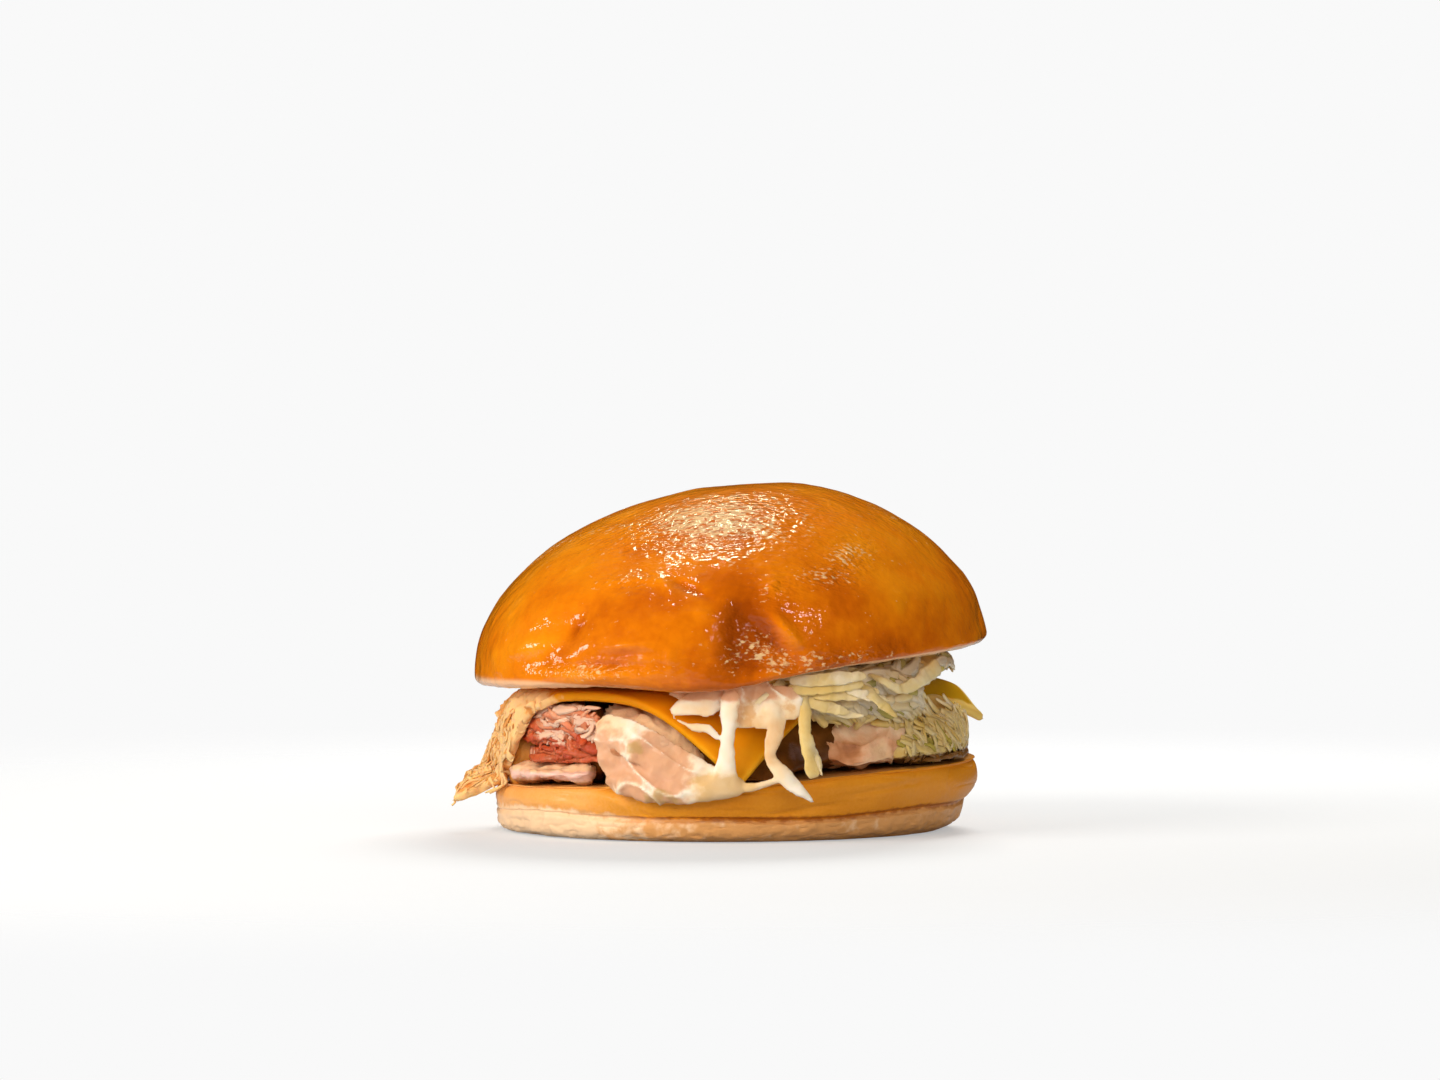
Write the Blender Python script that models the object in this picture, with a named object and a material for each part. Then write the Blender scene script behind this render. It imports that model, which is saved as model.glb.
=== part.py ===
"""Chicken burger: a glossy bun with chicken, bacon, cheese and dressed cabbage slaw.

All lengths are in metres, written as millimetres times MM. The origin is the centre of
the bun's flat underside, +Z is up and -Y is the side that the burger is looked at from.
Bearings are angles round the burger in degrees: 0 is +X (right), 270 is -Y (front).
"""

import math

import bmesh
import bpy
import numpy as np

MM = 0.001
# Room between neighbours that touch, and the wider room that a cut leaves.
GAP = 0.35 * MM
CUT_GAP = 0.7 * MM

# Heel of the bun: a flat round base, a little wider at its top, cut at a slant.
HEEL_LOW_RADIUS = 49.0 * MM
HEEL_HIGH_RADIUS = 51.0 * MM
HEEL_LOW_SHIFT = -1.2 * MM
HEEL_HIGH_SHIFT = 1.2 * MM
HEEL_HEIGHT = 12.9 * MM
HEEL_RISE = 0.052
HEEL_DEPTH_SHARE = 0.955
HEEL_SIDES = 52
# Its outline from the base up and over the cut face: (share of radius, share of height).
HEEL_OUTLINE = (
    (0.0, 0.0), (0.5, 0.0), (0.86, 0.0), (0.955, 0.06), (0.988, 0.17),
    (0.99, 0.33), (0.975, 0.42), (0.987, 0.48), (1.0, 0.66), (0.998, 0.84),
    (0.98, 0.95), (0.945, 1.0), (0.55, 1.0), (0.0, 1.0),
)
# The crease runs at this share of the height and wanders up and down by this much.
HEEL_CREASE_LEVEL = 0.42
HEEL_CREASE_WANDER = 0.7 * MM
# The cut face dips at the front, where the wet fillings press on it.
HEEL_DIP = 0.9 * MM
HEEL_DIP_X = 4.0 * MM
HEEL_DIP_HALF_WIDTH = 14.0 * MM
HEEL_DIP_STARTS = 30.0 * MM

# Crown of the bun: half an ellipsoid, tipped up to the right, with a drooping front lip.
CROWN_RADIUS = 54.4 * MM
CROWN_HEIGHT = 37.0 * MM
CROWN_CUT_HEIGHT = 36.0 * MM
CROWN_TILT = math.radians(4.3)
CROWN_NOD = 0.015
CROWN_APEX_SHIFT = 3.5 * MM
CROWN_EDGE = 1.6 * MM
CROWN_SIDES = 64
CROWN_CLIMBS = 12
CROWN_FLAT_SHARES = (0.0, 0.45, 0.8, 0.9)
LIP_DROP = 2.8 * MM
LIP_CENTRE = -5.0 * MM
LIP_HALF_WIDTH = 18.0 * MM
# Marks that the proofed dough kept in baking, on the front of the crown: middle (x, z), half
# length, half width, turn in degrees and how far the mark stands out (a dent is negative).
CROWN_MARKS = (
    ((-15.0 * MM, 41.0 * MM), 13.0 * MM, 9.0 * MM, 0.0, 2.0 * MM),
    ((-35.0 * MM, 43.0 * MM), 9.0 * MM, 3.5 * MM, 37.0, -1.8 * MM),
    ((2.5 * MM, 42.0 * MM), 4.5 * MM, 9.0 * MM, 0.0, -2.0 * MM),
    ((9.0 * MM, 42.0 * MM), 9.2 * MM, 2.9 * MM, -45.0, -1.3 * MM),
)
CROWN_ROLL = 0.9 * MM
CROWN_ROLL_SIZE = 22.0 * MM
CROWN_ROLL_SEED = 3

# Cheese: one square slice turned so that its corners point left, front, right and back.
CHEESE_SIDE = 89.0 * MM
CHEESE_THICKNESS = 2.0 * MM
CHEESE_CENTRE = (-7.0 * MM, 2.0 * MM)
CHEESE_BEARING = 10.0
CHEESE_LEVEL = 30.2 * MM
CHEESE_DOME = 1.6 * MM
CHEESE_DOME_RADIUS = 44.0 * MM
CHEESE_CELLS = 18
CHEESE_WAVE = 0.35 * MM
DRAPE_STEPS = 24
# Along its straight sides: where it folds, its slope, its bend length and its flare length.
CHEESE_EDGE = (46.5 * MM, 30.0, 30.0, 12.0 * MM, 24.0 * MM)
# Each corner: bearing from the slice's own and how sharply its fold is held to it, where it
# folds, its steepest slope, the slope of its tip, the length over which it bends and the
# length after which the tip flares.
CHEESE_CORNERS = (
    (172.0, 2.5, 27.0 * MM, 63.0, 34.0, 15.0 * MM, 25.0 * MM),
    (270.0, 5.0, 37.0 * MM, 66.0, 52.0, 13.0 * MM, 20.0 * MM),
    (0.0, 5.0, 47.0 * MM, 26.0, 26.0, 12.0 * MM, 30.0 * MM),
    (90.0, 5.0, 38.0 * MM, 74.0, 60.0, 12.0 * MM, 22.0 * MM),
)
FLARE_LENGTH = 5.0 * MM

# Fillings: rounded lumps, each a centre and sides given as (bearing, distance).
FILLING_RIM = 50.5 * MM
THINNEST_FILLING = 1.5 * MM
LUMP_ROUNDNESS = (0.45, 0.75)
LUMP_BUMP_SIZE = 9.0 * MM
SLICE_CENTRE = (-34.0 * MM, 0.0)
SLICE_SIDES = ((0.0, 4.4 * MM), (180.0, 14.0 * MM))
SLICE_THICKNESS = 4.4 * MM
BACON_LEFT = -41.5 * MM
BACON_RIGHT = -30.4 * MM
BACON_PITCH = 4.0 * MM
BACON_THICKNESS = 2.4 * MM
BACON_RIM = 47.6 * MM
BACON_BULGE = 1.6 * MM
# The fold's crinkle: a slow wave along the rasher and a quick one, each this high.
BACON_CRINKLE = (0.5 * MM, 0.6 * MM)
BACON_LAYERS = 3
BACON_TURN_SHARE = 0.28
BACON_STATIONS = 22
BACON_LENGTHWISE = 9
LEFT_CENTRE = (-17.0 * MM, -1.0 * MM)
LEFT_SIDES = ((0.0, 12.0 * MM), (180.0, 11.0 * MM), (90.0, 47.0 * MM))
LEFT_RIM = 50.6 * MM
LEFT_TOP = 29.0 * MM
RIGHT_CENTRE = (23.0 * MM, -2.0 * MM)
RIGHT_SIDES = ((0.0, 15.5 * MM), (180.0, 15.0 * MM), (211.0, 20.5 * MM))
RIGHT_RIM = 49.6 * MM
RIGHT_TOP = 25.2 * MM

# Slaw: an upper lump on the cheese, a side lump on the heel and a front lump that joins them.
SLAW_TOP_CENTRE = (17.0 * MM, 0.0)
SLAW_TOP_SIDES = ((180.0, 30.0 * MM),)
SLAW_TOP_RIM = 45.5 * MM
SLAW_SIDE_CENTRE = (41.0 * MM, 0.0)
SLAW_SIDE_SIDES = ((180.0, 8.5 * MM),)
SLAW_SIDE_DIP = 2.6 * MM
SLAW_SIDE_RIM = 49.6 * MM
SLAW_FRONT_CENTRE = (31.0 * MM, -30.0 * MM)
SLAW_FRONT_SIDES = ((180.0, 15.0 * MM), (90.0, 14.0 * MM), (20.0, 9.5 * MM))
SLAW_FRONT_RIM = 47.8 * MM
SLAW_FRONT_LOW = 23.2 * MM
SLAW_SPILL = 4.0 * MM
SLAW_SEED = 5
SHRED_STATIONS = 5
SHRED_LOWEST = 18.4 * MM
SHRED_THICKNESS = 1.5
# Rings of seeded shreds: how many, first and last bearing, lowest and highest level, how
# far out from the burger's axis.
SHRED_RINGS = (
    (10, -38.0, 84.0, 20.5 * MM, 25.5 * MM, 47.6 * MM),
    (7, -68.0, -43.0, 26.5 * MM, 31.0 * MM, 47.2 * MM),
    (9, -58.0, 118.0, 34.0 * MM, 37.0 * MM, 44.6 * MM),
)
# Each front shred in millimetres: its path, its widths along it and its thickness.
FRONT_SHREDS = (
    (((10, -38, 33.5), (15, -45.5, 32.5), (16.5, -49.3, 28), (17.5, -49.8, 21), (19, -49.8, 14.8)),
     (3.4, 3.6, 3.2, 3.0, 3.6), 1.5),
    (((15, -38, 33), (17.5, -46.0, 32.6), (23, -46.8, 32.2), (28.2, -45.0, 32.6)),
     (4.6, 4.8, 5.0, 4.8), 1.5),
    (((0, -38, 33.2), (-4, -45.8, 31.0), (-8, -47.4, 29.2), (-12.4, -47.6, 27.8)),
     (3.0, 7.0, 5.5, 1.0), 1.3),
    (((12, -38, 34), (9.5, -46, 32.5), (6.5, -48.4, 30), (4.8, -48.6, 28)),
     (2.2, 2.4, 2.0, 1.2), 1.2),
    (((40, -20, 35), (45.5, -17, 36.3), (44, -24, 33), (37, -34, 30.5)),
     (3.0, 3.4, 3.2, 2.0), 1.4),
    (((24, -38, 31), (29, -45.0, 29.5), (31, -47.2, 26.5), (35, -45.6, 24.0)),
     (3.4, 3.8, 3.4, 2.2), 1.4),
)

# Dressing, in millimetres as above: two drips with the bridge between them, and a puddle
# along the heel's rim.
DRIPS = (
    (((-1, -43, 33), (-1.4, -48.5, 30.5), (-2, -50.6, 24), (-1.5, -51.4, 17), (-1, -51.6, 12)),
     (5.0, 4.2, 3.4, 5.5, 9.0), 2.4),
    (((4.5, -43, 32.6), (7, -48.2, 30), (11, -50.2, 23.5), (11.5, -50.8, 17), (14.5, -52.2, 12.5),
      (17.3, -52.4, 9)),
     (3.0, 3.6, 5.2, 4.0, 4.4, 1.6), 2.0),
    (((2, -50.8, 12.6), (6, -51.6, 12.4), (10, -51.8, 13.4), (13, -51.8, 14.2)),
     (5.0, 3.6, 2.6, 2.6), 2.4),
    (((-26, -43.0, 13.0), (-20, -46.2, 12.2), (-13, -48.6, 11.6), (-5, -50.2, 12.0), (3, -50.6, 12.6)),
     (3.0, 6.4, 7.2, 7.4, 4.5), 5.4),
)
DRIP_STATIONS = 8
# Cross-sections of a strip, in half widths and half thicknesses.
FLAT_SECTION = ((-1.0, -1.0), (1.0, -1.0), (1.0, 1.0), (-1.0, 1.0))
ROUND_SECTION = ((-0.6, -1.0), (0.6, -1.0), (1.0, 0.0), (0.6, 1.0), (-0.6, 1.0), (-1.0, 0.0))

# Random relief blends numbers from a block of this many a side, repeated without end.
LATTICE = 16

COLOURS = {
    "golden_crust": ((0.80, 0.29, 0.03), 0.22),
    "heel_crust": ((0.78, 0.36, 0.08), 0.45),
    "processed_cheese": ((0.86, 0.42, 0.05), 0.35),
    "roast_chicken": ((0.78, 0.52, 0.36), 0.45),
    "sliced_chicken": ((0.86, 0.56, 0.46), 0.40),
    "bacon": ((0.52, 0.12, 0.05), 0.35),
    "cabbage": ((0.80, 0.74, 0.50), 0.35),
    "mayonnaise": ((0.93, 0.84, 0.68), 0.30),
}


def clear_scene():
    for thing in list(bpy.data.objects):
        bpy.data.objects.remove(thing, do_unlink=True)


def material(name):
    """The named food finish, as a Principled BSDF of one colour and roughness."""
    found = bpy.data.materials.get(name)
    if found:
        return found
    colour, roughness = COLOURS[name]
    made = bpy.data.materials.new(name)
    made.use_nodes = True
    shader = made.node_tree.nodes["Principled BSDF"]
    shader.inputs["Base Color"].default_value = (*colour, 1.0)
    shader.inputs["Roughness"].default_value = roughness
    shader.inputs["Metallic"].default_value = 0.0
    return made


def add_object(name, points, faces, finish):
    mesh = bpy.data.meshes.new(name)
    mesh.from_pydata(points.tolist(), [], faces)
    mesh.validate()
    mesh.shade_smooth()
    mesh.materials.append(material(finish))
    made = bpy.data.objects.new(name, mesh)
    bpy.context.scene.collection.objects.link(made)
    return made


def ring_faces(rings, sides):
    """Quads between neighbouring rings of points, facing outwards when rings go upwards."""
    faces = []
    for ring in range(rings - 1):
        for side in range(sides):
            after = (side + 1) % sides
            low, high = ring * sides, (ring + 1) * sides
            faces.append((low + side, low + after, high + after, high + side))
    return faces


def closed_body(name, rows, finish):
    """A body from rows of points, shape (rings, sides, 3), whose two end rings are poles."""
    rings, sides = rows.shape[:2]
    inner = rows[1:-1]
    faces = ring_faces(rings - 2, sides)
    bottom, top = (rings - 2) * sides, (rings - 2) * sides + 1
    last = (rings - 3) * sides
    for side in range(sides):
        after = (side + 1) % sides
        faces.append((bottom, after, side))
        faces.append((top, last + side, last + after))
    poles = np.array([rows[0].mean(axis=0), rows[-1].mean(axis=0)])
    points = np.concatenate([inner.reshape(-1, 3), poles])
    return add_object(name, points, faces, finish)


def sheet_body(name, top, bottom, finish):
    """A thin body between two grids of points; both faces are split into like triangles."""
    rows, columns = top.shape[:2]
    offset = rows * columns
    faces = []
    for row in range(rows - 1):
        for column in range(columns - 1):
            a = row * columns + column
            b, c, d = a + columns, a + columns + 1, a + 1
            faces += [(a, b, c), (a, c, d)]
            faces += [(offset + a, offset + c, offset + b), (offset + a, offset + d, offset + c)]
    border = [(0, column) for column in range(columns - 1)]
    border += [(row, columns - 1) for row in range(rows - 1)]
    border += [(rows - 1, column) for column in range(columns - 1, 0, -1)]
    border += [(row, 0) for row in range(rows - 1, 0, -1)]
    rim = [row * columns + column for row, column in border]
    for here, there in zip(rim, rim[1:] + rim[:1]):
        faces += [(here, there, offset + there), (here, offset + there, offset + here)]
    points = np.concatenate([top.reshape(-1, 3), bottom.reshape(-1, 3)])
    return add_object(name, points, faces, finish)


def smooth(value):
    """0 below 0, 1 above 1 and an even S between."""
    share = np.clip(value, 0.0, 1.0)
    return share * share * (3.0 - 2.0 * share)


def bump(value):
    """A bell, 1 at 0 and nearly nothing beyond 2."""
    return np.exp(-value * value)


def lumps(points, size, seed):
    """Smooth random relief from -1 to 1 with blobs of this size: lattice numbers, blended."""
    numbers = np.random.default_rng(seed).uniform(-1.0, 1.0, (LATTICE,) * 3)
    scaled = points / size
    corner = np.floor(scaled).astype(np.int64)
    share = smooth(scaled - corner)
    total = 0.0
    for step in np.ndindex(2, 2, 2):
        at = (corner + np.array(step)) % LATTICE
        weight = np.prod(np.where(step, share, 1.0 - share), axis=-1)
        total = total + weight * numbers[at[..., 0], at[..., 1], at[..., 2]]
    return total


def stacked(x, y, z):
    return np.stack(np.broadcast_arrays(x, y, z), axis=-1)


# ---- Surfaces that neighbours share ----


def heel_top(x, y):
    """Height of the cut face of the heel: a slanting plane with a shallow front dip."""
    across = bump((x - HEEL_DIP_X) / HEEL_DIP_HALF_WIDTH)
    dip = HEEL_DIP * across * smooth((-y - HEEL_DIP_STARTS) / (15.0 * MM))
    return HEEL_HEIGHT + HEEL_RISE * x - dip


def crown_under(x, y):
    """Height of the cut face of the crown: a plane, higher at the right and the back."""
    return CROWN_CUT_HEIGHT + math.tan(CROWN_TILT) * x + CROWN_NOD * y


def corner_blend(bearing, position):
    """A value of the slice by bearing: its straight sides' own, and each corner's near it."""
    resting = CHEESE_EDGE[position]
    value = np.full_like(bearing, resting)
    for corner_bearing, sharpness, *corner in CHEESE_CORNERS:
        away = np.cos(bearing - math.radians(corner_bearing + CHEESE_BEARING))
        value = value + np.maximum(away, 0.0) ** sharpness * (corner[position] - resting)
    return value


def draped(distance, bearing):
    """Where flat points of the slice go: (distance out, drop, slope), by bearing.

    Past the fold the slope grows smoothly to the corner's steepest, and eases at its tip.
    The path is the sum of small straight steps, so the slice keeps its length.
    """
    fold, steepest, tip, bend, flare = (corner_blend(bearing, position) for position in range(5))
    beyond = np.maximum(distance - fold, 0.0)
    step = beyond / DRAPE_STEPS
    out = np.minimum(distance, fold)
    drop = np.zeros_like(out)
    slope = np.zeros_like(out)
    for number in range(DRAPE_STEPS):
        along = (number + 0.5) * step
        degrees = steepest * smooth(along / bend)
        degrees = degrees + (tip - steepest) * smooth((along - flare) / FLARE_LENGTH)
        slope = np.radians(degrees)
        out = out + np.cos(slope) * step
        drop = drop + np.sin(slope) * step
    return out, drop, np.where(beyond > 0, slope, 0.0)


def cheese_level(distance):
    """Height of the slice's middle where it lies: a low dome."""
    return CHEESE_LEVEL + CHEESE_DOME * np.maximum(0.0, 1.0 - (distance / CHEESE_DOME_RADIUS) ** 2)


def cheese_height(x, y):
    """Height of the slice's middle surface over a point, carried on past its edge.

    The drape is followed at 60 flat distances, and the height is read between the two
    whose draped places lie on either side of the point.
    """
    away_x, away_y = x - CHEESE_CENTRE[0], y - CHEESE_CENTRE[1]
    reach = np.hypot(away_x, away_y)
    bearing = np.arctan2(away_y, away_x)
    tries = np.linspace(30.0 * MM, 80.0 * MM, 60).reshape((-1,) + (1,) * reach.ndim)
    out, drop, _ = draped(np.broadcast_to(tries, (60, *reach.shape)), bearing + 0 * tries)
    high = np.clip((out < reach).sum(axis=0), 1, 59)
    out_low, out_high = (np.take_along_axis(out, index[None], 0)[0] for index in (high - 1, high))
    drop_low, drop_high = (np.take_along_axis(drop, index[None], 0)[0] for index in (high - 1, high))
    share = np.clip((reach - out_low) / (out_high - out_low), 0.0, 1.0)
    return cheese_level(reach) - (drop_low + (drop_high - drop_low) * share)


def below_cheese(x, y):
    """The highest a filling may reach: under the slice, less its slanting thickness."""
    step = 0.5 * MM
    middle = cheese_height(x, y)
    away = np.hypot(x - CHEESE_CENTRE[0], y - CHEESE_CENTRE[1]) + 1e-9
    out_x, out_y = (x - CHEESE_CENTRE[0]) / away, (y - CHEESE_CENTRE[1]) / away
    further = cheese_height(x + out_x * step, y + out_y * step)
    steepness = np.hypot(1.0, (middle - further) / step)
    return middle - (CHEESE_THICKNESS / 2 + 2 * GAP) * steepness


# ---- Bun ----


def heel_rows():
    """The heel: flat base, soft lower edge, a crease, the crust's bulge and a rounded rim."""
    bearing = np.arange(HEEL_SIDES) * 2 * math.pi / HEEL_SIDES
    rows = []
    for share, level in HEEL_OUTLINE:
        radius = HEEL_LOW_RADIUS + (HEEL_HIGH_RADIUS - HEEL_LOW_RADIUS) * level
        shift = HEEL_LOW_SHIFT + (HEEL_HIGH_SHIFT - HEEL_LOW_SHIFT) * level
        out = radius * share * (1.0 + 0.008 * np.sin(3 * bearing + 1.0))
        x = shift + out * np.cos(bearing)
        y = out * np.sin(bearing) * HEEL_DEPTH_SHARE
        wander = HEEL_CREASE_WANDER * np.sin(2 * bearing + 0.6)
        wander = wander * bump((level - HEEL_CREASE_LEVEL) / 0.15)
        rows.append(stacked(x, y, heel_top(x, y) * level + wander))
    return np.array(rows)


def lip_droop(bearing):
    """How far the crown's rim hangs below its cut face: most at the front, left of centre."""
    x, y = CROWN_RADIUS * np.cos(bearing), CROWN_RADIUS * np.sin(bearing)
    front = bump((x - LIP_CENTRE) / LIP_HALF_WIDTH) * smooth(-y / (30.0 * MM))
    back = 0.5 * bump((x + 2.4 * LIP_CENTRE) / LIP_HALF_WIDTH) * smooth(y / (30.0 * MM))
    left = 0.3 * smooth((-x - 20.0 * MM) / (30.0 * MM))
    return LIP_DROP * (front + back + left)


def crown_relief(points):
    """How far the crust stands out: the marks on its front and a slow roll all over."""
    x, y, z = points[..., 0], points[..., 1], points[..., 2]
    marked = 0.0 * x
    for (mark_x, mark_z), half_length, half_width, degrees, height in CROWN_MARKS:
        turn = math.radians(degrees)
        along = (x - mark_x) * math.cos(turn) + (z - mark_z) * math.sin(turn)
        across = (z - mark_z) * math.cos(turn) - (x - mark_x) * math.sin(turn)
        marked = marked + height * bump(along / half_length) * bump(across / half_width)
    rolling = CROWN_ROLL * lumps(points, CROWN_ROLL_SIZE, CROWN_ROLL_SEED)
    return marked * smooth(-y / (25.0 * MM)) + rolling


def crown_profile(bearing):
    """Rings of (distance out, height over the cut face): cut face, rounded lip, domed crust."""
    droop = lip_droop(bearing)
    rings = []
    for share in CROWN_FLAT_SHARES:
        rings.append((CROWN_RADIUS * share + 0 * bearing, -0.3 * droop * smooth((share - 0.8) / 0.1)))
    rings.append((CROWN_RADIUS - 1.3 * CROWN_EDGE + 0 * bearing, -droop))
    rings.append((CROWN_RADIUS - 0.25 * CROWN_EDGE + 0 * bearing, -droop + 0.35 * CROWN_EDGE))
    for climb in np.linspace(0.04, math.pi / 2, CROWN_CLIMBS):
        hang = droop * np.maximum(0.0, 1.0 - climb / 0.45) ** 2
        up = CROWN_HEIGHT * math.sin(climb) - hang + 0.5 * CROWN_EDGE * math.cos(climb)
        rings.append((CROWN_RADIUS * math.cos(climb) + 0 * bearing, up))
    return rings


def crown_rows():
    """The crown: its profile carried round, tipped to the right, with relief on its crust."""
    bearing = np.arange(CROWN_SIDES) * 2 * math.pi / CROWN_SIDES
    placed = []
    for out, up in crown_profile(bearing):
        shift = CROWN_APEX_SHIFT * (np.maximum(up, 0.0) / CROWN_HEIGHT) ** 2
        x, y = out * np.cos(bearing) + shift, out * np.sin(bearing)
        turned_x = x * math.cos(CROWN_TILT) - up * math.sin(CROWN_TILT)
        turned_z = x * math.sin(CROWN_TILT) + up * math.cos(CROWN_TILT)
        placed.append(stacked(turned_x, y, turned_z + CROWN_CUT_HEIGHT + CROWN_NOD * y))
    points = np.array(placed)
    outward = points - np.array([2.0 * MM, 0.0, 42.0 * MM])
    outward = outward / np.linalg.norm(outward, axis=-1, keepdims=True)
    lip_ring = len(CROWN_FLAT_SHARES) + 1
    on_crust = np.zeros(len(placed))
    on_crust[lip_ring:] = 1.0
    on_crust[lip_ring] = 0.4
    return points + outward * (crown_relief(points) * on_crust[:, None])[..., None]


# ---- Cheese ----


def cheese_grids():
    """Top and bottom grids of the draped slice, both offset from its middle surface."""
    side = np.linspace(-CHEESE_SIDE / 2, CHEESE_SIDE / 2, CHEESE_CELLS + 1)
    along, across = np.meshgrid(side, side, indexing="ij")
    turn = math.radians(CHEESE_BEARING - 45.0)
    x = along * math.cos(turn) - across * math.sin(turn)
    y = along * math.sin(turn) + across * math.cos(turn)
    distance, bearing = np.hypot(x, y), np.arctan2(y, x)
    out, drop, slope = draped(distance, bearing)
    wave = CHEESE_WAVE * np.sin(5 * bearing) * smooth((distance - 30.0 * MM) / (20.0 * MM))
    middle = stacked(
        CHEESE_CENTRE[0] + out * np.cos(bearing),
        CHEESE_CENTRE[1] + out * np.sin(bearing),
        cheese_level(out) - drop + wave,
    )
    upward = stacked(np.sin(slope) * np.cos(bearing), np.sin(slope) * np.sin(bearing), np.cos(slope))
    half = upward * CHEESE_THICKNESS / 2
    return middle + half, middle - half


# ---- Fillings ----


def disc_reach(centre, bearing, radius):
    """Distance from a point inside a disc round the burger's axis to its edge, by bearing."""
    x, y = centre[0] - HEEL_HIGH_SHIFT, centre[1]
    towards = x * np.cos(bearing) + y * np.sin(bearing)
    return np.sqrt(towards**2 + radius**2 - x * x - y * y) - towards


def outline_radius(centre, bearing, sides, rim):
    """Radius of a rounded polygon whose sides are (bearing, distance), kept inside the rim.

    It is the sum of the sides' reaches in the 8th power, so that corners come out round.
    """
    total = disc_reach(centre, bearing, rim) ** -8.0
    for side_bearing, distance in sides:
        facing = np.maximum(np.cos(bearing - math.radians(side_bearing)), 0.0)
        total = total + (facing / distance) ** 8
    return total ** (-1 / 8)


def lump_rows(centre, sides, rim, low, high, around, levels, rough, seed):
    """A rounded lump between two height functions, over a rounded polygon.

    Its side is a full curve between an ellipse and a box, so that its edges stay soft;
    `rough` is the share of its radius by which random bumps move the side.
    """
    bearing = np.arange(around) * 2 * math.pi / around
    reach = outline_radius(centre, bearing, sides, rim)
    out_power, up_power = LUMP_ROUNDNESS
    rows = []
    for turn in np.linspace(-math.pi / 2, math.pi / 2, levels):
        share = abs(math.cos(turn)) ** out_power
        height = 0.5 + 0.5 * math.copysign(abs(math.sin(turn)) ** up_power, turn)
        where = stacked(reach * np.cos(bearing), reach * np.sin(bearing), 2 * LUMP_BUMP_SIZE * height)
        ragged = share * (1.0 + rough * lumps(where, LUMP_BUMP_SIZE, seed) * share)
        x = centre[0] + reach * ragged * np.cos(bearing)
        y = centre[1] + reach * ragged * np.sin(bearing)
        bottom, top = low(x, y), high(x, y)
        rows.append(stacked(x, y, bottom + np.maximum(top - bottom, THINNEST_FILLING) * height))
    return np.array(rows)


def on_heel(x, y):
    return heel_top(x, y) + GAP


def slice_top(x, y):
    return on_heel(x, y) + SLICE_THICKNESS


def left_top(x, y):
    return np.minimum(LEFT_TOP, below_cheese(x, y))


def right_top(x, y):
    return np.minimum(RIGHT_TOP, below_cheese(x, y))


def make_sliced_chicken():
    """A flat slice along the left of the heel, under the bacon."""
    rows = lump_rows(SLICE_CENTRE, SLICE_SIDES, FILLING_RIM, on_heel, slice_top, 26, 7, 0.04, 11)
    return closed_body("chicken_slice", rows, "sliced_chicken")


def make_chicken(name, centre, sides, rim, top, seed):
    """A piece of roast chicken that runs from the front of the burger to its back."""
    rows = lump_rows(centre, sides, rim, on_heel, top, 30, 10, 0.10, seed)
    return closed_body(name, rows, "roast_chicken")


def bacon_section(share):
    """Middle line of the folded rasher seen from the front: a zigzag with rounded turns."""
    turn = share * BACON_LAYERS
    layer = np.minimum(np.floor(turn), BACON_LAYERS - 1)
    along = turn - layer
    across = np.where(layer % 2 == 0, along, 1.0 - along)
    leaving = smooth((along - 1.0 + BACON_TURN_SHARE) / BACON_TURN_SHARE)
    arriving = 1.0 - smooth(along / BACON_TURN_SHARE)
    rise = layer + leaving * np.where(layer < BACON_LAYERS - 1, 0.5, 0.0)
    rise = rise - arriving * np.where(layer > 0, 0.5, 0.0)
    x = BACON_LEFT + (BACON_RIGHT - BACON_LEFT) * (0.5 - 0.5 * np.cos(math.pi * across))
    return x, rise * BACON_PITCH


def make_bacon():
    """A rasher folded in three, on the sliced chicken, with its cut ends at front and back.

    Its left side bows out with the round of the bun.
    """
    x, z = bacon_section(np.linspace(0.0, 1.0, BACON_STATIONS))
    tangent = np.stack([np.gradient(x), np.gradient(z)], axis=-1)
    tangent = tangent / np.linalg.norm(tangent, axis=-1, keepdims=True)
    run = np.linspace(-1.0, 1.0, BACON_LENGTHWISE)
    reach = np.sqrt(BACON_RIM**2 - (x - HEEL_HIGH_SHIFT) ** 2)
    y = run[None, :] * reach[:, None]
    base = slice_top(x[:, None], y) + GAP + BACON_THICKNESS / 2
    slow, quick = BACON_CRINKLE
    crinkle = (slow * np.sin(3.0 * run) + quick * (1.0 + np.sin(9.0 * run)))[None, :]
    above_first = z[:, None] > 0.3 * BACON_PITCH
    leftward = (BACON_RIGHT - x[:, None]) / (BACON_RIGHT - BACON_LEFT)
    bowed_x = x[:, None] - BACON_BULGE * leftward * (1.0 - run[None, :] ** 2)
    room = below_cheese(bowed_x, y) - base - BACON_THICKNESS / 2
    tallest = (BACON_LAYERS - 1) * BACON_PITCH + slow + 2 * quick
    squeeze = np.minimum(1.0, room / tallest)
    middle = stacked(bowed_x, y, base + (z[:, None] + crinkle * above_first) * squeeze)
    normal = stacked(-tangent[:, 1][:, None], 0 * y, tangent[:, 0][:, None])
    half = normal * BACON_THICKNESS / 2
    return sheet_body("bacon_rasher", middle + half, middle - half, "bacon")


# ---- Strips, and joining and cutting of bodies ----


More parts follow.
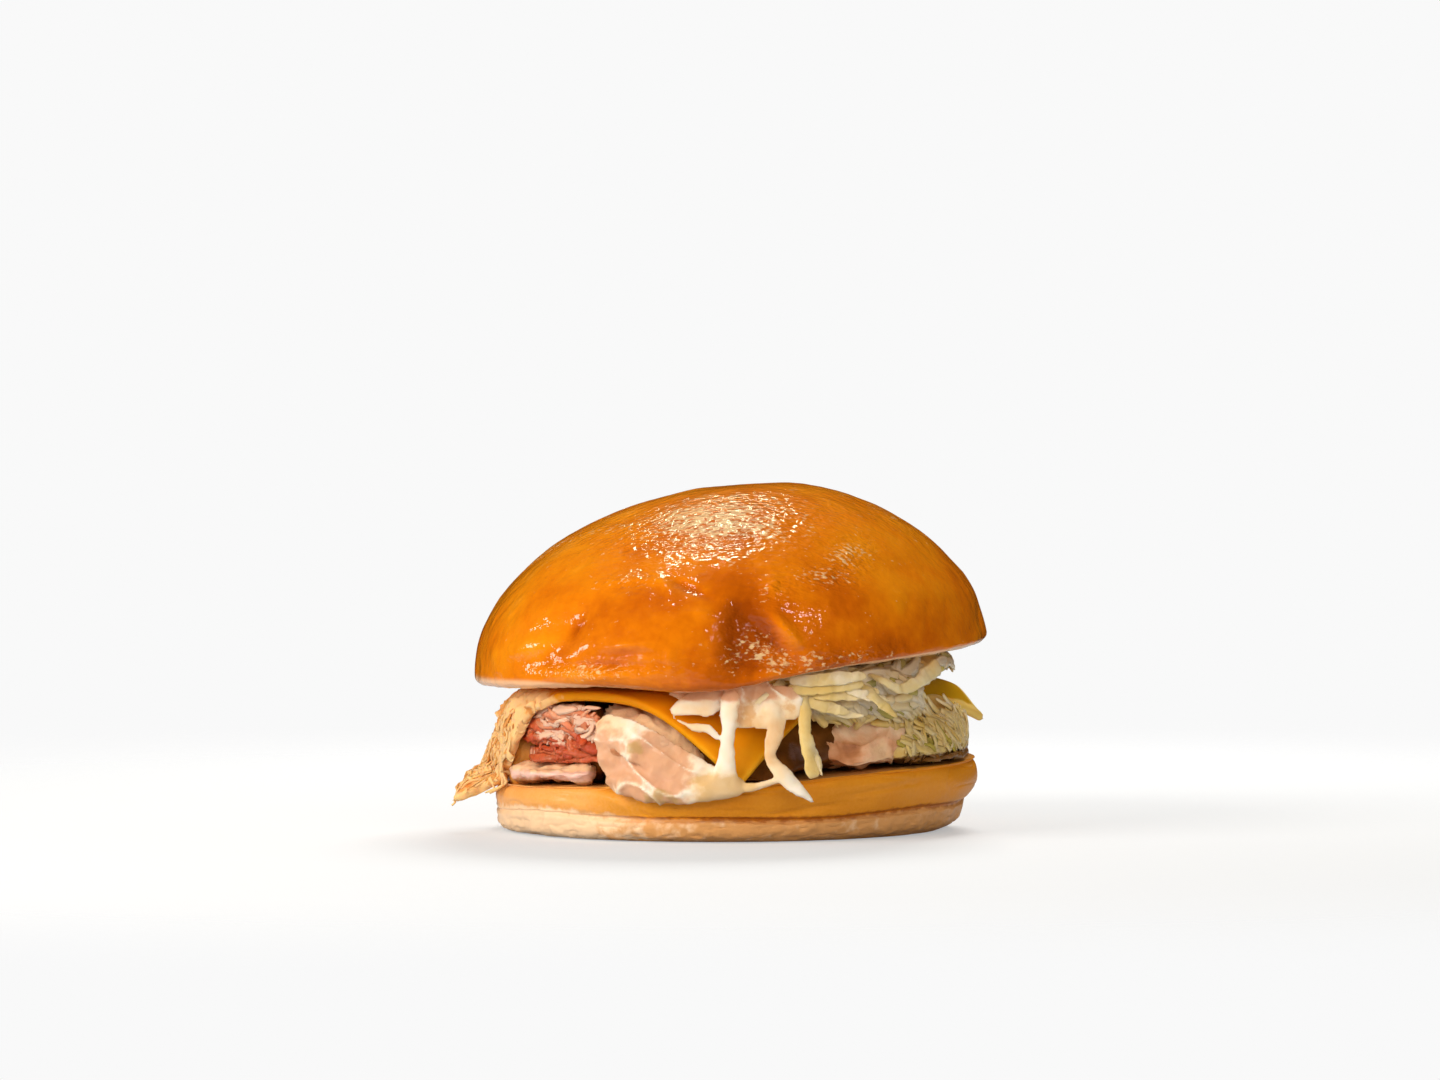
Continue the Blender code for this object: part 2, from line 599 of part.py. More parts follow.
def strip(points, widths, thickness, finish, section):
    """A tapering strip along the points, facing away from the burger's axis."""
    along = np.gradient(points, axis=0)
    along = along / np.linalg.norm(along, axis=1, keepdims=True)
    outward = points * np.array([1.0, 1.0, 0.0]) - np.array([HEEL_HIGH_SHIFT, 0.0, 0.0])
    outward = outward + np.array([0.0, 0.0, 0.4]) * np.linalg.norm(outward, axis=1, keepdims=True)
    across = np.cross(along, outward)
    across = across / np.linalg.norm(across, axis=1, keepdims=True)
    facing = np.cross(across, along)
    side = across * widths[:, None] / 2
    half = facing * thickness / 2
    rings = np.stack([points + side * wide + half * out for wide, out in section], axis=1)
    count, corners = len(points), len(section)
    faces = ring_faces(count, corners)
    faces.append(tuple(reversed(range(corners))))
    faces.append(tuple(corners * (count - 1) + corner for corner in range(corners)))
    return add_object("strip", rings.reshape(-1, 3), faces, finish)


def curved(path, stations):
    """Points in metres on a smooth curve through the path's own, which are in millimetres.

    Between two points it is a cubic whose slope at each follows the points beside it.
    """
    knots = np.array(path, float) * MM
    padded = np.concatenate([2 * knots[:1] - knots[1:2], knots, 2 * knots[-1:] - knots[-2:-1]])
    spread = np.linspace(0.0, len(knots) - 1.0001, stations)
    index = np.floor(spread).astype(int)
    t = (spread - index)[:, None]
    p0, p1, p2, p3 = (padded[index + step] for step in range(4))
    square = 2 * p0 - 5 * p1 + 4 * p2 - p3
    cube = 3 * p1 - p0 - 3 * p2 + p3
    return 0.5 * (2 * p1 + (p2 - p0) * t + square * t**2 + cube * t**3)


def strips(paths, stations, finish, section):
    """A strip for each (path, widths, thickness), its widths spread evenly along it."""
    made = []
    spread = np.linspace(0, 1, stations)
    for path, widths, thickness in paths:
        width = np.interp(spread, np.linspace(0, 1, len(widths)), widths) * MM
        made.append(strip(curved(path, stations), width, thickness * MM, finish, section))
    return made


def remove(thing):
    mesh = thing.data
    bpy.data.objects.remove(thing, do_unlink=True)
    bpy.data.meshes.remove(mesh)


def apply_modifiers(thing):
    graph = bpy.context.evaluated_depsgraph_get()
    result = bpy.data.meshes.new_from_object(thing.evaluated_get(graph))
    thing.modifiers.clear()
    old = thing.data
    thing.data = result
    bpy.data.meshes.remove(old)
    result.name = thing.name


def fuse(core, pieces):
    """Joins the pieces to the core by one Boolean union on a collection, and removes them."""
    group = bpy.data.collections.new(core.name + "_pieces")
    bpy.context.scene.collection.children.link(group)
    for piece in pieces:
        bpy.context.scene.collection.objects.unlink(piece)
        group.objects.link(piece)
    union = core.modifiers.new("fuse", "BOOLEAN")
    union.operation = "UNION"
    union.operand_type = "COLLECTION"
    union.collection = group
    union.solver = "EXACT"
    apply_modifiers(core)
    for piece in pieces:
        remove(piece)
    bpy.data.collections.remove(group)


def swollen_copy(neighbour):
    """A hidden copy of a body with its surface moved out by the gap that a cut leaves."""
    cutter = neighbour.copy()
    cutter.data = neighbour.data.copy()
    cutter.hide_render = True
    cutter.display_type = "WIRE"
    bpy.context.scene.collection.objects.link(cutter)
    shape = bmesh.new()
    shape.from_mesh(cutter.data)
    shape.normal_update()
    for vert in shape.verts:
        vert.co += vert.normal * CUT_GAP * vert.calc_shell_factor()
    shape.to_mesh(cutter.data)
    shape.free()
    return cutter


def clear_of(body, neighbour):
    """Cuts the swollen neighbour out of the body, so that the two nest.

    The exact solver leaves a swollen copy uncut where it folds into itself, so this cut is
    made by the manifold solver.
    """
    cutter = swollen_copy(neighbour)
    cut = body.modifiers.new("clear", "BOOLEAN")
    cut.operation = "DIFFERENCE"
    cut.object = cutter
    cut.solver = "MANIFOLD"
    apply_modifiers(body)
    remove(cutter)


def islands_of(shape):
    """The groups of vertices of a mesh that edges join, smallest first."""
    left = set(shape.verts)
    islands = []
    while left:
        frontier, island = [left.pop()], []
        while frontier:
            vert = frontier.pop()
            island.append(vert)
            joined = {link.other_vert(vert) for link in vert.link_edges} & left
            left -= joined
            frontier.extend(joined)
        islands.append(island)
    return sorted(islands, key=len)


def keep_largest(body):
    """Drops the loose scraps that cutting can leave beside the body."""
    shape = bmesh.new()
    shape.from_mesh(body.data)
    for island in islands_of(shape)[:-1]:
        bmesh.ops.delete(shape, geom=island, context="VERTS")
    shape.to_mesh(body.data)
    shape.free()


# ---- Slaw and dressing ----


def beyond_slice(x, y):
    """How far a point lies outside the flat slice's square outline."""
    turn = math.radians(CHEESE_BEARING - 45.0)
    away_x, away_y = x - CHEESE_CENTRE[0], y - CHEESE_CENTRE[1]
    along = away_x * math.cos(turn) + away_y * math.sin(turn)
    across = away_y * math.cos(turn) - away_x * math.sin(turn)
    return np.maximum(abs(along), abs(across)) - CHEESE_SIDE / 2


def above_cheese(x, y):
    """Height of the slaw's underside: just over the slice, and lower beyond its edge."""
    away = np.hypot(x - CHEESE_CENTRE[0], y - CHEESE_CENTRE[1])
    over = cheese_level(away) + CHEESE_THICKNESS / 2 + GAP
    return over - SLAW_SPILL * smooth(beyond_slice(x, y) / SLAW_SPILL)


def below_crown(x, y):
    return crown_under(x, y) - GAP


def beside_cheese(x, y):
    """Top of the slaw at the right: under the slice, and dipping in front of its edge."""
    return below_cheese(x, y) - SLAW_SIDE_DIP * smooth((-y - 2.0 * MM) / (12.0 * MM))


def over_front_edge(x, y):
    """Top of the slaw that spills past the slice's front-right edge into the upper slaw."""
    return above_cheese(x, y) + THINNEST_FILLING


def over_chicken(x, y):
    return SLAW_FRONT_LOW + 0.0 * x


def shred_path(random, bearing, lowest, highest, out):
    """A short arc on the outside of the heap with its own level, length, slant and bend."""
    level = random.uniform(lowest, highest)
    length = random.uniform(10.0, 17.0) * MM
    slant = random.uniform(0.1, 1.1) * random.choice((-1.0, 1.0))
    path = []
    for step in np.linspace(-0.5, 0.5, 4):
        turn = bearing + step * length * math.cos(slant) / out
        reach = out + (1.4 - 8.0 * step * step + random.uniform(-0.3, 0.3)) * MM
        x, y = reach * math.cos(turn), reach * math.sin(turn)
        highest_here = crown_under(x, 0.0) - 3.0 * MM
        rise = min(max(level + step * length * math.sin(slant), SHRED_LOWEST), highest_here)
        path.append((x / MM, y / MM, rise / MM))
    return path


def shred_ring(random, count, first, last, lowest, highest, out):
    """Shreds set round a stretch of the heap, as (path, widths, thickness)."""
    ring = []
    for bearing in np.linspace(first, last, count):
        turned = math.radians(bearing + random.uniform(-4.0, 4.0))
        path = shred_path(random, turned, lowest, highest, out)
        width = random.uniform(2.2, 3.6)
        ring.append((path, np.array([0.5, 1.0, 1.0, 0.6]) * width, SHRED_THICKNESS))
    return ring


def slaw_lumps():
    """The heap's core: its upper, side and front lumps."""
    top = lump_rows(
        SLAW_TOP_CENTRE, SLAW_TOP_SIDES, SLAW_TOP_RIM, above_cheese, below_crown, 34, 8, 0.05, 31
    )
    side = lump_rows(
        SLAW_SIDE_CENTRE, SLAW_SIDE_SIDES, SLAW_SIDE_RIM, on_heel, beside_cheese, 28, 8, 0.06, 37
    )
    front = lump_rows(
        SLAW_FRONT_CENTRE, SLAW_FRONT_SIDES, SLAW_FRONT_RIM, over_chicken, over_front_edge, 26, 8, 0.08, 41
    )
    return (
        closed_body("slaw_heap", top, "cabbage"),
        closed_body("side", side, "cabbage"),
        closed_body("front", front, "cabbage"),
    )


def make_slaw(chicken, cheese):
    """One heap of slaw: on the cheese, and past its front-right edge down to the heel."""
    heap, side, front = slaw_lumps()
    random = np.random.default_rng(SLAW_SEED)
    paths = list(FRONT_SHREDS)
    for ring in SHRED_RINGS:
        paths += shred_ring(random, *ring)
    fuse(heap, [side, front, *strips(paths, SHRED_STATIONS, "cabbage", FLAT_SECTION)])
    clear_of(heap, cheese)
    clear_of(heap, chicken)
    keep_largest(heap)
    return heap


def make_dressing(neighbours):
    """Thick dressing: drips down from the slaw and a puddle over the heel's front rim."""
    first, *pieces = strips(DRIPS, DRIP_STATIONS, "mayonnaise", ROUND_SECTION)
    first.name = first.data.name = "mayonnaise"
    fuse(first, pieces)
    for neighbour in neighbours:
        clear_of(first, neighbour)
    keep_largest(first)
    return first


def main():
    clear_scene()
    heel = closed_body("bun_heel", heel_rows(), "heel_crust")
    crown = closed_body("bun_crown", crown_rows(), "golden_crust")
    cheese = sheet_body("cheese_slice", *cheese_grids(), "processed_cheese")
    make_sliced_chicken()
    make_bacon()
    left = make_chicken("chicken_left", LEFT_CENTRE, LEFT_SIDES, LEFT_RIM, left_top, 17)
    right = make_chicken("chicken_right", RIGHT_CENTRE, RIGHT_SIDES, RIGHT_RIM, right_top, 23)
    heap = make_slaw(right, cheese)
    make_dressing((heel, crown, cheese, left, heap))


main()
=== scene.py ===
# %% [markdown]
# # Dressing a chicken burger
#
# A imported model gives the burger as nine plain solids: the two halves of the bun, the cheese, the
# fillings, the slaw and the dressing. They have the right size and place, but flat facets. This
# lesson gives each one the surface and finish of the real food. Every surface is worked out from
# the same lengths as the solids, so a piece lands where its solid is.

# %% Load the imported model
import math

import bpy
import numpy as np
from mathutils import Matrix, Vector


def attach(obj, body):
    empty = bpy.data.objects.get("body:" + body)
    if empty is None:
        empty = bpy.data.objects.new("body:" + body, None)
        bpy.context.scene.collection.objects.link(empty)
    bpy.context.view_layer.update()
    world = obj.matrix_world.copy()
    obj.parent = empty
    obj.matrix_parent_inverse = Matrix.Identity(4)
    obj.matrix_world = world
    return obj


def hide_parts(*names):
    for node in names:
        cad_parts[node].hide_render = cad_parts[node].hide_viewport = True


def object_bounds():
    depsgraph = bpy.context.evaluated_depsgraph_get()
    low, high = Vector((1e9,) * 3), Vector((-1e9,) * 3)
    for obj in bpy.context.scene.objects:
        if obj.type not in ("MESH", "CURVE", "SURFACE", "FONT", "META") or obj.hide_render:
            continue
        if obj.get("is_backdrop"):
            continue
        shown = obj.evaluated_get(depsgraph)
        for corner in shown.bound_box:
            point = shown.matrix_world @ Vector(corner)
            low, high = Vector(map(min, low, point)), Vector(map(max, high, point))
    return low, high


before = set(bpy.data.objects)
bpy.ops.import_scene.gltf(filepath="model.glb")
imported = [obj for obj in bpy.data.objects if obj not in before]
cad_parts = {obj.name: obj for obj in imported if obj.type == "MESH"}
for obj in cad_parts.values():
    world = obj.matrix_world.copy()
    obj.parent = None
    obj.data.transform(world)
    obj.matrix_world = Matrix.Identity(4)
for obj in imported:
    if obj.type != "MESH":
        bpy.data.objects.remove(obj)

cad_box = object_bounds()
print("solids:", ", ".join(sorted(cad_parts)))

# %% [markdown]
# ## Colours, arrays and meshes
#
# Food is measured in millimetres, so the arrays are too, and turn to Blender's metres only where a
# mesh is made. Colours are hex codes, and a render needs them linear. A surface is an array of
# points: its rows run upwards and its columns round the burger, so one rule turns any such array
# into faces that point outwards. A mark is a number on each point that a finish can read.

# %% Colours, arrays and meshes
MM = 0.001


def linear(code):
    """A hex colour as linear red, green, blue and alpha: a straight foot, then a power of 2.4."""
    shown = np.array([int(code[start:start + 2], 16) for start in (1, 3, 5)]) / 255
    value = np.where(shown <= 0.04045, shown / 12.92, ((shown + 0.055) / 1.055) ** 2.4)
    return (*value.tolist(), 1.0)


def stacked(x, y, z):
    """Three arrays, spread to one shape, as an array of points."""
    return np.stack(np.broadcast_arrays(x, y, z), axis=-1)


def turns(count):
    """This many even bearings round a circle."""
    return np.arange(count) * 2 * math.pi / count


def placed(name, data):
    """A new object of this data, in the scene."""
    thing = bpy.data.objects.new(name, data)
    bpy.context.scene.collection.objects.link(thing)
    return thing


def grid_quads(rows, columns, closed):
    """The corner numbers of the quads of a grid; `closed` joins its last column to its first."""
    number = np.arange(rows * columns).reshape(rows, columns)
    if closed:
        number = np.column_stack([number, number[:, :1]])
    corners = (number[:-1, :-1], number[:-1, 1:], number[1:, 1:], number[1:, :-1])
    return np.stack(corners, axis=-1).reshape(-1, 4)


def set_marks(mesh, marks):
    """Gives each point of the mesh its number for each mark."""
    for mark, values in marks.items():
        layer = mesh.attributes.new(mark, "FLOAT", "POINT")
        layer.data.foreach_set("value", np.ascontiguousarray(values, np.float32).ravel())


def add_piece(name, solid, finish, points, quads, triangles, marks):
    """A mesh object from arrays of points and faces, put in place of its solid."""
    mesh = bpy.data.meshes.new(name)
    loops = np.concatenate([quads.ravel(), triangles.ravel()]).astype(np.int32)
    sizes = np.concatenate([np.full(len(quads), 4), np.full(len(triangles), 3)])
    starts = np.concatenate([[0], np.cumsum(sizes)[:-1]]).astype(np.int32)
    mesh.vertices.add(len(points))
    mesh.vertices.foreach_set("co", np.ascontiguousarray(points * MM, np.float32).ravel())
    mesh.loops.add(len(loops))
    mesh.loops.foreach_set("vertex_index", loops)
    mesh.polygons.add(len(starts))
    mesh.polygons.foreach_set("loop_start", starts)
    mesh.update(calc_edges=True)
    mesh.validate()
    mesh.shade_smooth()
    set_marks(mesh, marks)
    mesh.materials.append(finish)
    piece = placed(name, mesh)
    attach(piece, "root")
    if solid:
        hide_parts(solid)
    print(f"{name}: {int((sizes - 2).sum())} triangles")
    return piece


def without_poles(values):
    """Values of a grid in the order of a closed skin's points: inner rings, bottom, top pole."""
    flat = values[1:-1].reshape(-1, *values.shape[2:])
    return np.concatenate([flat, values[:1].mean(axis=1), values[-1:].mean(axis=1)])


def add_skin(name, solid, finish, rows, marks):
    """A closed body from its rings: the first and the last shrink to poles."""
    rings, sides = rows.shape[:2]
    side = np.arange(sides)
    after = (side + 1) % sides
    low = (rings - 2) * sides
    below = np.stack([np.full(sides, low), after, side], axis=-1)
    above = np.stack([np.full(sides, low + 1), low - sides + side, low - sides + after], axis=-1)
    spread = {mark: without_poles(np.broadcast_to(v, (rings, sides))) for mark, v in marks.items()}
    return add_piece(
        name, solid, finish, without_poles(rows), grid_quads(rings - 2, sides, True),
        np.concatenate([below, above]), spread,
    )

# %% [markdown]
# ## Smooth steps, bells and random relief
#
# Food has no straight edges. Nearly every form here mixes three things: an S that leads from one
# value to another, a bell that raises or dents one place, and random relief, blended from a small
# block of numbers. The solids use the same block, so their lumps come out at the same places.

# %% Smooth steps, bells and random relief
LATTICE = 16


def smooth(value):
    """0 below 0, 1 above 1 and an even S between."""
    share = np.clip(value, 0.0, 1.0)
    return share * share * (3.0 - 2.0 * share)


def bump(value):
    """A bell, 1 at 0 and nearly nothing beyond 2."""
    return np.exp(-value * value)


def lumps(points, size, seed):
    """Smooth random relief from -1 to 1 with blobs of this size: lattice numbers, blended."""
    numbers = np.random.default_rng(seed).uniform(-1.0, 1.0, (LATTICE,) * 3)
    scaled = points / size
    corner = np.floor(scaled).astype(np.int64)
    share = smooth(scaled - corner)
    total = 0.0
    for step in np.ndindex(2, 2, 2):
        at = (corner + np.array(step)) % LATTICE
        weight = np.prod(np.where(step, share, 1.0 - share), axis=-1)
        total = total + weight * numbers[at[..., 0], at[..., 1], at[..., 2]]
    return total


def rough(points, size, seed, layers=3):
    """Lumps upon lumps: each layer is half as large and a little over half as high."""
    return sum(0.55**step * lumps(points, size / 2**step, seed + step) for step in range(layers))


def ridges(points, size, seed):
    """Random relief with sharp crests where the lumps cross zero, from 0 to 1."""
    return (1.0 - np.minimum(1.0, 3.0 * abs(lumps(points, size, seed)))) ** 2


def spline(knots, spread):
    """Points, or whole rings, on a smooth curve through the knots, at places counted in knots.

    Between two knots it is a cubic whose slope at each follows the knots beside it.
    """
    padded = np.concatenate([2 * knots[:1] - knots[1:2], knots, 2 * knots[-1:] - knots[-2:-1]])
    index = np.minimum(np.floor(spread).astype(int), len(knots) - 2)
    t = (spread - index).reshape((-1,) + (1,) * (knots.ndim - 1))
    p0, p1, p2, p3 = (padded[index + step] for step in range(4))
    square = 2 * p0 - 5 * p1 + 4 * p2 - p3
    cube = 3 * p1 - p0 - 3 * p2 + p3
    return 0.5 * (2 * p1 + (p2 - p0) * t + square * t**2 + cube * t**3)


def unit(vectors):
    """The vectors, each made one long."""
    return vectors / np.maximum(np.linalg.norm(vectors, axis=-1, keepdims=True), 1e-6)


def raised(rows, relief):
    """A grid that is closed round, moved out by the relief along its normals.

    A normal is the cross product of the grid's two directions.
    """
    around = np.roll(rows, -1, axis=1) - np.roll(rows, 1, axis=1)
    return rows + unit(np.cross(around, np.gradient(rows, axis=0))) * relief[..., None]

# %% [markdown]
# ## Finishes
#
# A finish is a Principled shader. Its colour and bump come from nodes, and its gloss and softness
# are plain values on its own sockets. Patterns read Object coordinates, which are real metres
# here, so a noise scale is one over a real size.

# %% Finishes
def new_finish(name, values):
    """A new material with its node tree and its Principled shader, with these values set."""
    made = bpy.data.materials.new(name)
    made.use_nodes = True
    shader = made.node_tree.nodes["Principled BSDF"]
    for socket, value in values.items():
        shader.inputs[socket].default_value = value
    return made, made.node_tree, shader


def node(tree, kind, inputs, out=0, stops=(), **settings):
    """Adds a node with its settings and returns one of its outputs.

    `inputs` gives each socket, by name or number, a value or the output that feeds it, and
    `stops` are a ramp's own: (place, hex colour).
    """
    made = tree.nodes.new("ShaderNode" + kind)
    for setting, value in settings.items():
        setattr(made, setting, value)
    for socket, value in inputs.items():
        if isinstance(value, bpy.types.NodeSocket):
            tree.links.new(value, made.inputs[socket])
        else:
            made.inputs[socket].default_value = value
    for number, (place, colour) in enumerate(stops):
        points = made.color_ramp.elements
        point = points[number] if number < 2 else points.new(place)
        point.position = place
        point.color = linear(colour)
    return made.outputs[out]


def see_through(weight, radii, scale):
    """How light passes through a food: its share, how far each colour goes, and a scale."""
    radii = [radius * MM for radius in radii]
    return {"Subsurface Weight": weight, "Subsurface Radius": radii, "Subsurface Scale": scale}


def food(name, stops, blotch, grain, depth, roughness, specular, values, layers=()):
    """A food's finish, from three patterns with real sizes.

    Blotches of size `blotch` and a mark called `tone` pick the colour from the ramp `stops`.
    Grain of size `grain` shades it a little and raises it by `depth`. Each layer is
    (mark, hex colour, broken size, strength): another colour where that mark is, its edge
    broken up by noise of that size.
    """
    values = {"Roughness": roughness, "Specular IOR Level": specular, **values}
    made, tree, shader = new_finish(name, values)
    place = node(tree, "TexCoord", {}, "Object")
    patches = node(tree, "TexNoise", {"Vector": place, "Scale": 1 / (blotch * MM), "Detail": 3.0})
    fine = node(tree, "TexNoise", {"Vector": place, "Scale": 1 / (grain * MM), "Detail": 5.0})
    tone = node(tree, "Attribute", {}, "Fac", attribute_name="tone")
    tint = node(tree, "Math", {0: patches, 1: 0.45, 2: tone}, operation="MULTIPLY_ADD")
    tint = node(tree, "Math", {0: fine, 1: 0.25, 2: tint}, operation="MULTIPLY_ADD")
    tint = node(tree, "Math", {0: tint, 1: 0.35}, operation="SUBTRACT")
    colour = node(tree, "ValToRGB", {"Fac": tint}, stops=stops)
    for mark, code, broken, strength in layers:
        cover = node(tree, "Attribute", {}, "Fac", attribute_name=mark)
        breaks = {"Vector": place, "Scale": 1 / (broken * MM), "Detail": 4.0}
        breaks = node(tree, "TexNoise", breaks)
        cover = node(tree, "Math", {0: breaks, 1: 1.2, 2: cover}, operation="MULTIPLY_ADD")
        cover = {"Value": cover, "From Min": 0.85, "From Max": 1.35, "To Max": strength}
        cover = node(tree, "MapRange", cover, interpolation_type="SMOOTHSTEP")
        colour = {0: cover, 6: colour, 7: linear(code)}
        colour = node(tree, "Mix", colour, 2, data_type="RGBA")
    tree.links.new(colour, shader.inputs["Base Color"])
    fine = node(tree, "Bump", {"Height": fine, "Distance": depth * MM})
    tree.links.new(fine, shader.inputs["Normal"])
    return made

# %% [markdown]
# ## Camera, floor and light
#
# The burger was photographed from the front, from two or three degrees above, with a long lens that
# shows near and far at nearly the same size, so the camera stands well back. The light is warm and
# brightest from the left. Large softboxes give the soft shade, and gloss doesn't mirror them; five
# small windows, which only gloss shows, give the crust its broken highlights. The floor is a pale
# disc that fades out, so that no horizon shows. It glows to the camera, and takes the shade.

# %% Camera, floor and light
CAMERA_PLACE = Vector((-2.1, -2400.0, 162.0)) * MM
CAMERA_AIM = Vector((-2.1, 0.0, 61.4)) * MM
CAMERA_LENS = 283.0
LIGHT_AIM = Vector((0.0, 0.0, 40.0)) * MM
PALE = "#f9f9f9"
AMBIENT = "#8a8275"
MIRRORED = "#3c2408"
FLOOR_RADIUS = 420.0 * MM
FLOOR_SOLID = 90.0 * MM
FLOOR_TURNS = 96
FLOOR_ALBEDO = "#b9c2cf"
FLOOR_GLOW = "#a8a8a8"
# Name, azimuth from the camera's side, elevation, distance, width, height, watts, colour, and
# whether gloss mirrors it. Azimuth 90 is the burger's right.
LIGHTS = (
    ("key_left", -52, 22, 0.75, 0.50, 0.45, 5.2, "#fff0dc", False),
    ("front_fill", 20, 12, 0.95, 0.80, 0.40, 3.2, "#fff0dc", False),
    ("back_fill", 166, 42, 0.80, 0.35, 0.25, 6.0, "#fff4e4", False),
    ("window_top", 192, 61, 0.70, 0.20, 0.08, 2.2, "#e4ffdc", True),
    ("window_high", -66, 72, 0.80, 0.07, 0.06, 0.4, "#ffe4e8", True),
    ("window_left", -60, 12, 0.80, 0.12, 0.12, 0.7, "#ffe4e4", True),
    ("window_low", 33, 37, 0.80, 0.06, 0.06, 0.3, "#ffe2ea", True),
    ("window_side", -92, 16, 0.80, 0.14, 0.14, 0.8, "#ffe9e4", True),
)

camera_data = bpy.data.cameras.new("camera")
camera_data.lens = CAMERA_LENS
camera_data.clip_start = 0.1
camera_data.clip_end = 20.0
camera = placed("camera", camera_data)
camera.location = CAMERA_PLACE
camera.rotation_euler = (CAMERA_AIM - CAMERA_PLACE).to_track_quat("-Z", "Y").to_euler()
bpy.context.scene.camera = camera
bpy.context.scene.view_settings.view_transform = "Standard"

for name, azimuth, elevation, distance, width, height, watts, code, mirrored in LIGHTS:
    lamp = bpy.data.lights.new(name, "AREA")
    lamp.shape = "RECTANGLE"
    lamp.size, lamp.size_y = width, height
    lamp.energy = watts
    lamp.color = linear(code)[:3]
    stand = placed(name, lamp)
    turn, rise = math.radians(azimuth), math.radians(elevation)
    level = math.cos(rise)
    towards = Vector((math.sin(turn) * level, -math.cos(turn) * level, math.sin(rise)))
    stand.location = LIGHT_AIM + towards * distance
    stand.rotation_euler = (-towards).to_track_quat("-Z", "Y").to_euler()
    stand.visible_glossy = mirrored
    stand.visible_diffuse = not mirrored

world = bpy.data.worlds.new("studio")
bpy.context.scene.world = world
world.use_nodes = True
room = world.node_tree
seen = node(room, "LightPath", {}, "Is Camera Ray")
glossy = node(room, "LightPath", {}, "Is Glossy Ray")
wall = {0: glossy, 6: linear(AMBIENT), 7: linear(MIRRORED)}
wall = {0: seen, 6: node(room, "Mix", wall, 2, data_type="RGBA"), 7: linear(PALE)}
wall = node(room, "Mix", wall, 2, data_type="RGBA")
room.links.new(wall, room.nodes["Background"].inputs["Color"])

# Matt paper: no shine, a glow that only the camera sees, and the burger's soft shade.
paper, tree, shader = new_finish("matt_paper", {
    "Roughness": 0.9, "Specular IOR Level": 0.0, "Base Color": linear(FLOOR_ALBEDO),
    "Emission Color": linear(FLOOR_GLOW),
})
seen = node(tree, "LightPath", {}, "Is Camera Ray")
tree.links.new(seen, shader.inputs["Emission Strength"])
away = node(tree, "TexCoord", {}, "Object")
away = node(tree, "VectorMath", {0: away}, "Value", operation="LENGTH")
fade = {"Value": away, "From Min": FLOOR_SOLID, "From Max": FLOOR_RADIUS, "To Min": 1.0, "To Max": 0.0}
fade = node(tree, "MapRange", fade, interpolation_type="SMOOTHERSTEP")
tree.links.new(fade, shader.inputs["Alpha"])

bearing, radii = turns(FLOOR_TURNS), np.array([[0.3], [1.0]]) * FLOOR_RADIUS
floor_points = stacked(np.cos(bearing) * radii, np.sin(bearing) * radii, 0.0).reshape(-1, 3)
floor_faces = np.roll(grid_quads(2, FLOOR_TURNS, True)[:, ::-1], 1, axis=1).tolist()
floor_mesh = bpy.data.meshes.new("floor")
floor_mesh.from_pydata(floor_points.tolist(), [], [list(range(FLOOR_TURNS))] + floor_faces)
floor_mesh.materials.append(paper)
placed("floor", floor_mesh)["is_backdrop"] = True
print("camera at", tuple(round(v, 3) for v in CAMERA_PLACE))

# %% [markdown]
# ## Surfaces that neighbours share
#
# A burger is a stack, so each piece takes its underside from what it lies on. The heel's cut face
# is a slanting plane that the wet fillings press down at the front, and the crown's is a plane
# that tips up to the right. The cheese lies on the fillings as a low dome and bends down past a
# fold: adding up small steps along its growing slope keeps the slice as long as it really is.

# %% Surfaces that neighbours share
GAP = 0.35
AXIS_X = 1.2
HEEL_HEIGHT = 12.9
HEEL_RISE = 0.052
HEEL_DIP = 0.9
CROWN_CUT_HEIGHT = 36.0
CROWN_TILT = math.radians(4.3)
CROWN_NOD = 0.015
CHEESE_SIDE = 89.0
CHEESE_THICKNESS = 2.0
CHEESE_X, CHEESE_Y = -7.0, 2.0
CHEESE_BEARING = 10.0
CHEESE_LEVEL = 30.2
CHEESE_DOME = 1.6
CHEESE_DOME_RADIUS = 44.0
# How the slice folds: the fold's distance, the steepest slope, the slope at the tip, and how far
# past the fold each slope is reached. A corner's bearing and sharpness stand before its fold.
CHEESE_EDGE = (46.5, 30.0, 30.0, 12.0, 24.0)
CHEESE_CORNERS = (
    (172, 2.5, 27, 63, 34, 15, 25), (270, 5, 37, 66, 52, 13, 20),
    (0, 5, 47, 26, 26, 12, 30), (90, 5, 38, 74, 60, 12, 22),
)
FLARE_LENGTH = 5.0
DRAPE_STEPS = 24
DRAPE_TRIES = 60
DRAPE_NEAREST = 30.0
DRAPE_FURTHEST = 80.0
MAP_STEP = 0.6
MAP_REACH = 62.0


def heel_top(x, y):
    """Height of the heel's cut face: a slanting plane with a shallow dip at its front."""
    dip = HEEL_DIP * bump((x - 4.0) / 14.0) * smooth((-y - 30.0) / 15.0)
    return HEEL_HEIGHT + HEEL_RISE * x - dip


def crown_under(x, y):
    """Height of the crown's cut face: a plane, higher at the right and the back."""
    return CROWN_CUT_HEIGHT + math.tan(CROWN_TILT) * x + CROWN_NOD * y


def corner_blend(bearing, position):
    """A value of the fold by bearing: the straight sides' own, and each corner's near it."""
    resting = CHEESE_EDGE[position]
    value = np.full_like(bearing, resting)
    for corner_bearing, sharpness, *corner in CHEESE_CORNERS:
        away = np.cos(bearing - math.radians(corner_bearing + CHEESE_BEARING))
        value = value + np.maximum(away, 0.0) ** sharpness * (corner[position] - resting)
    return value


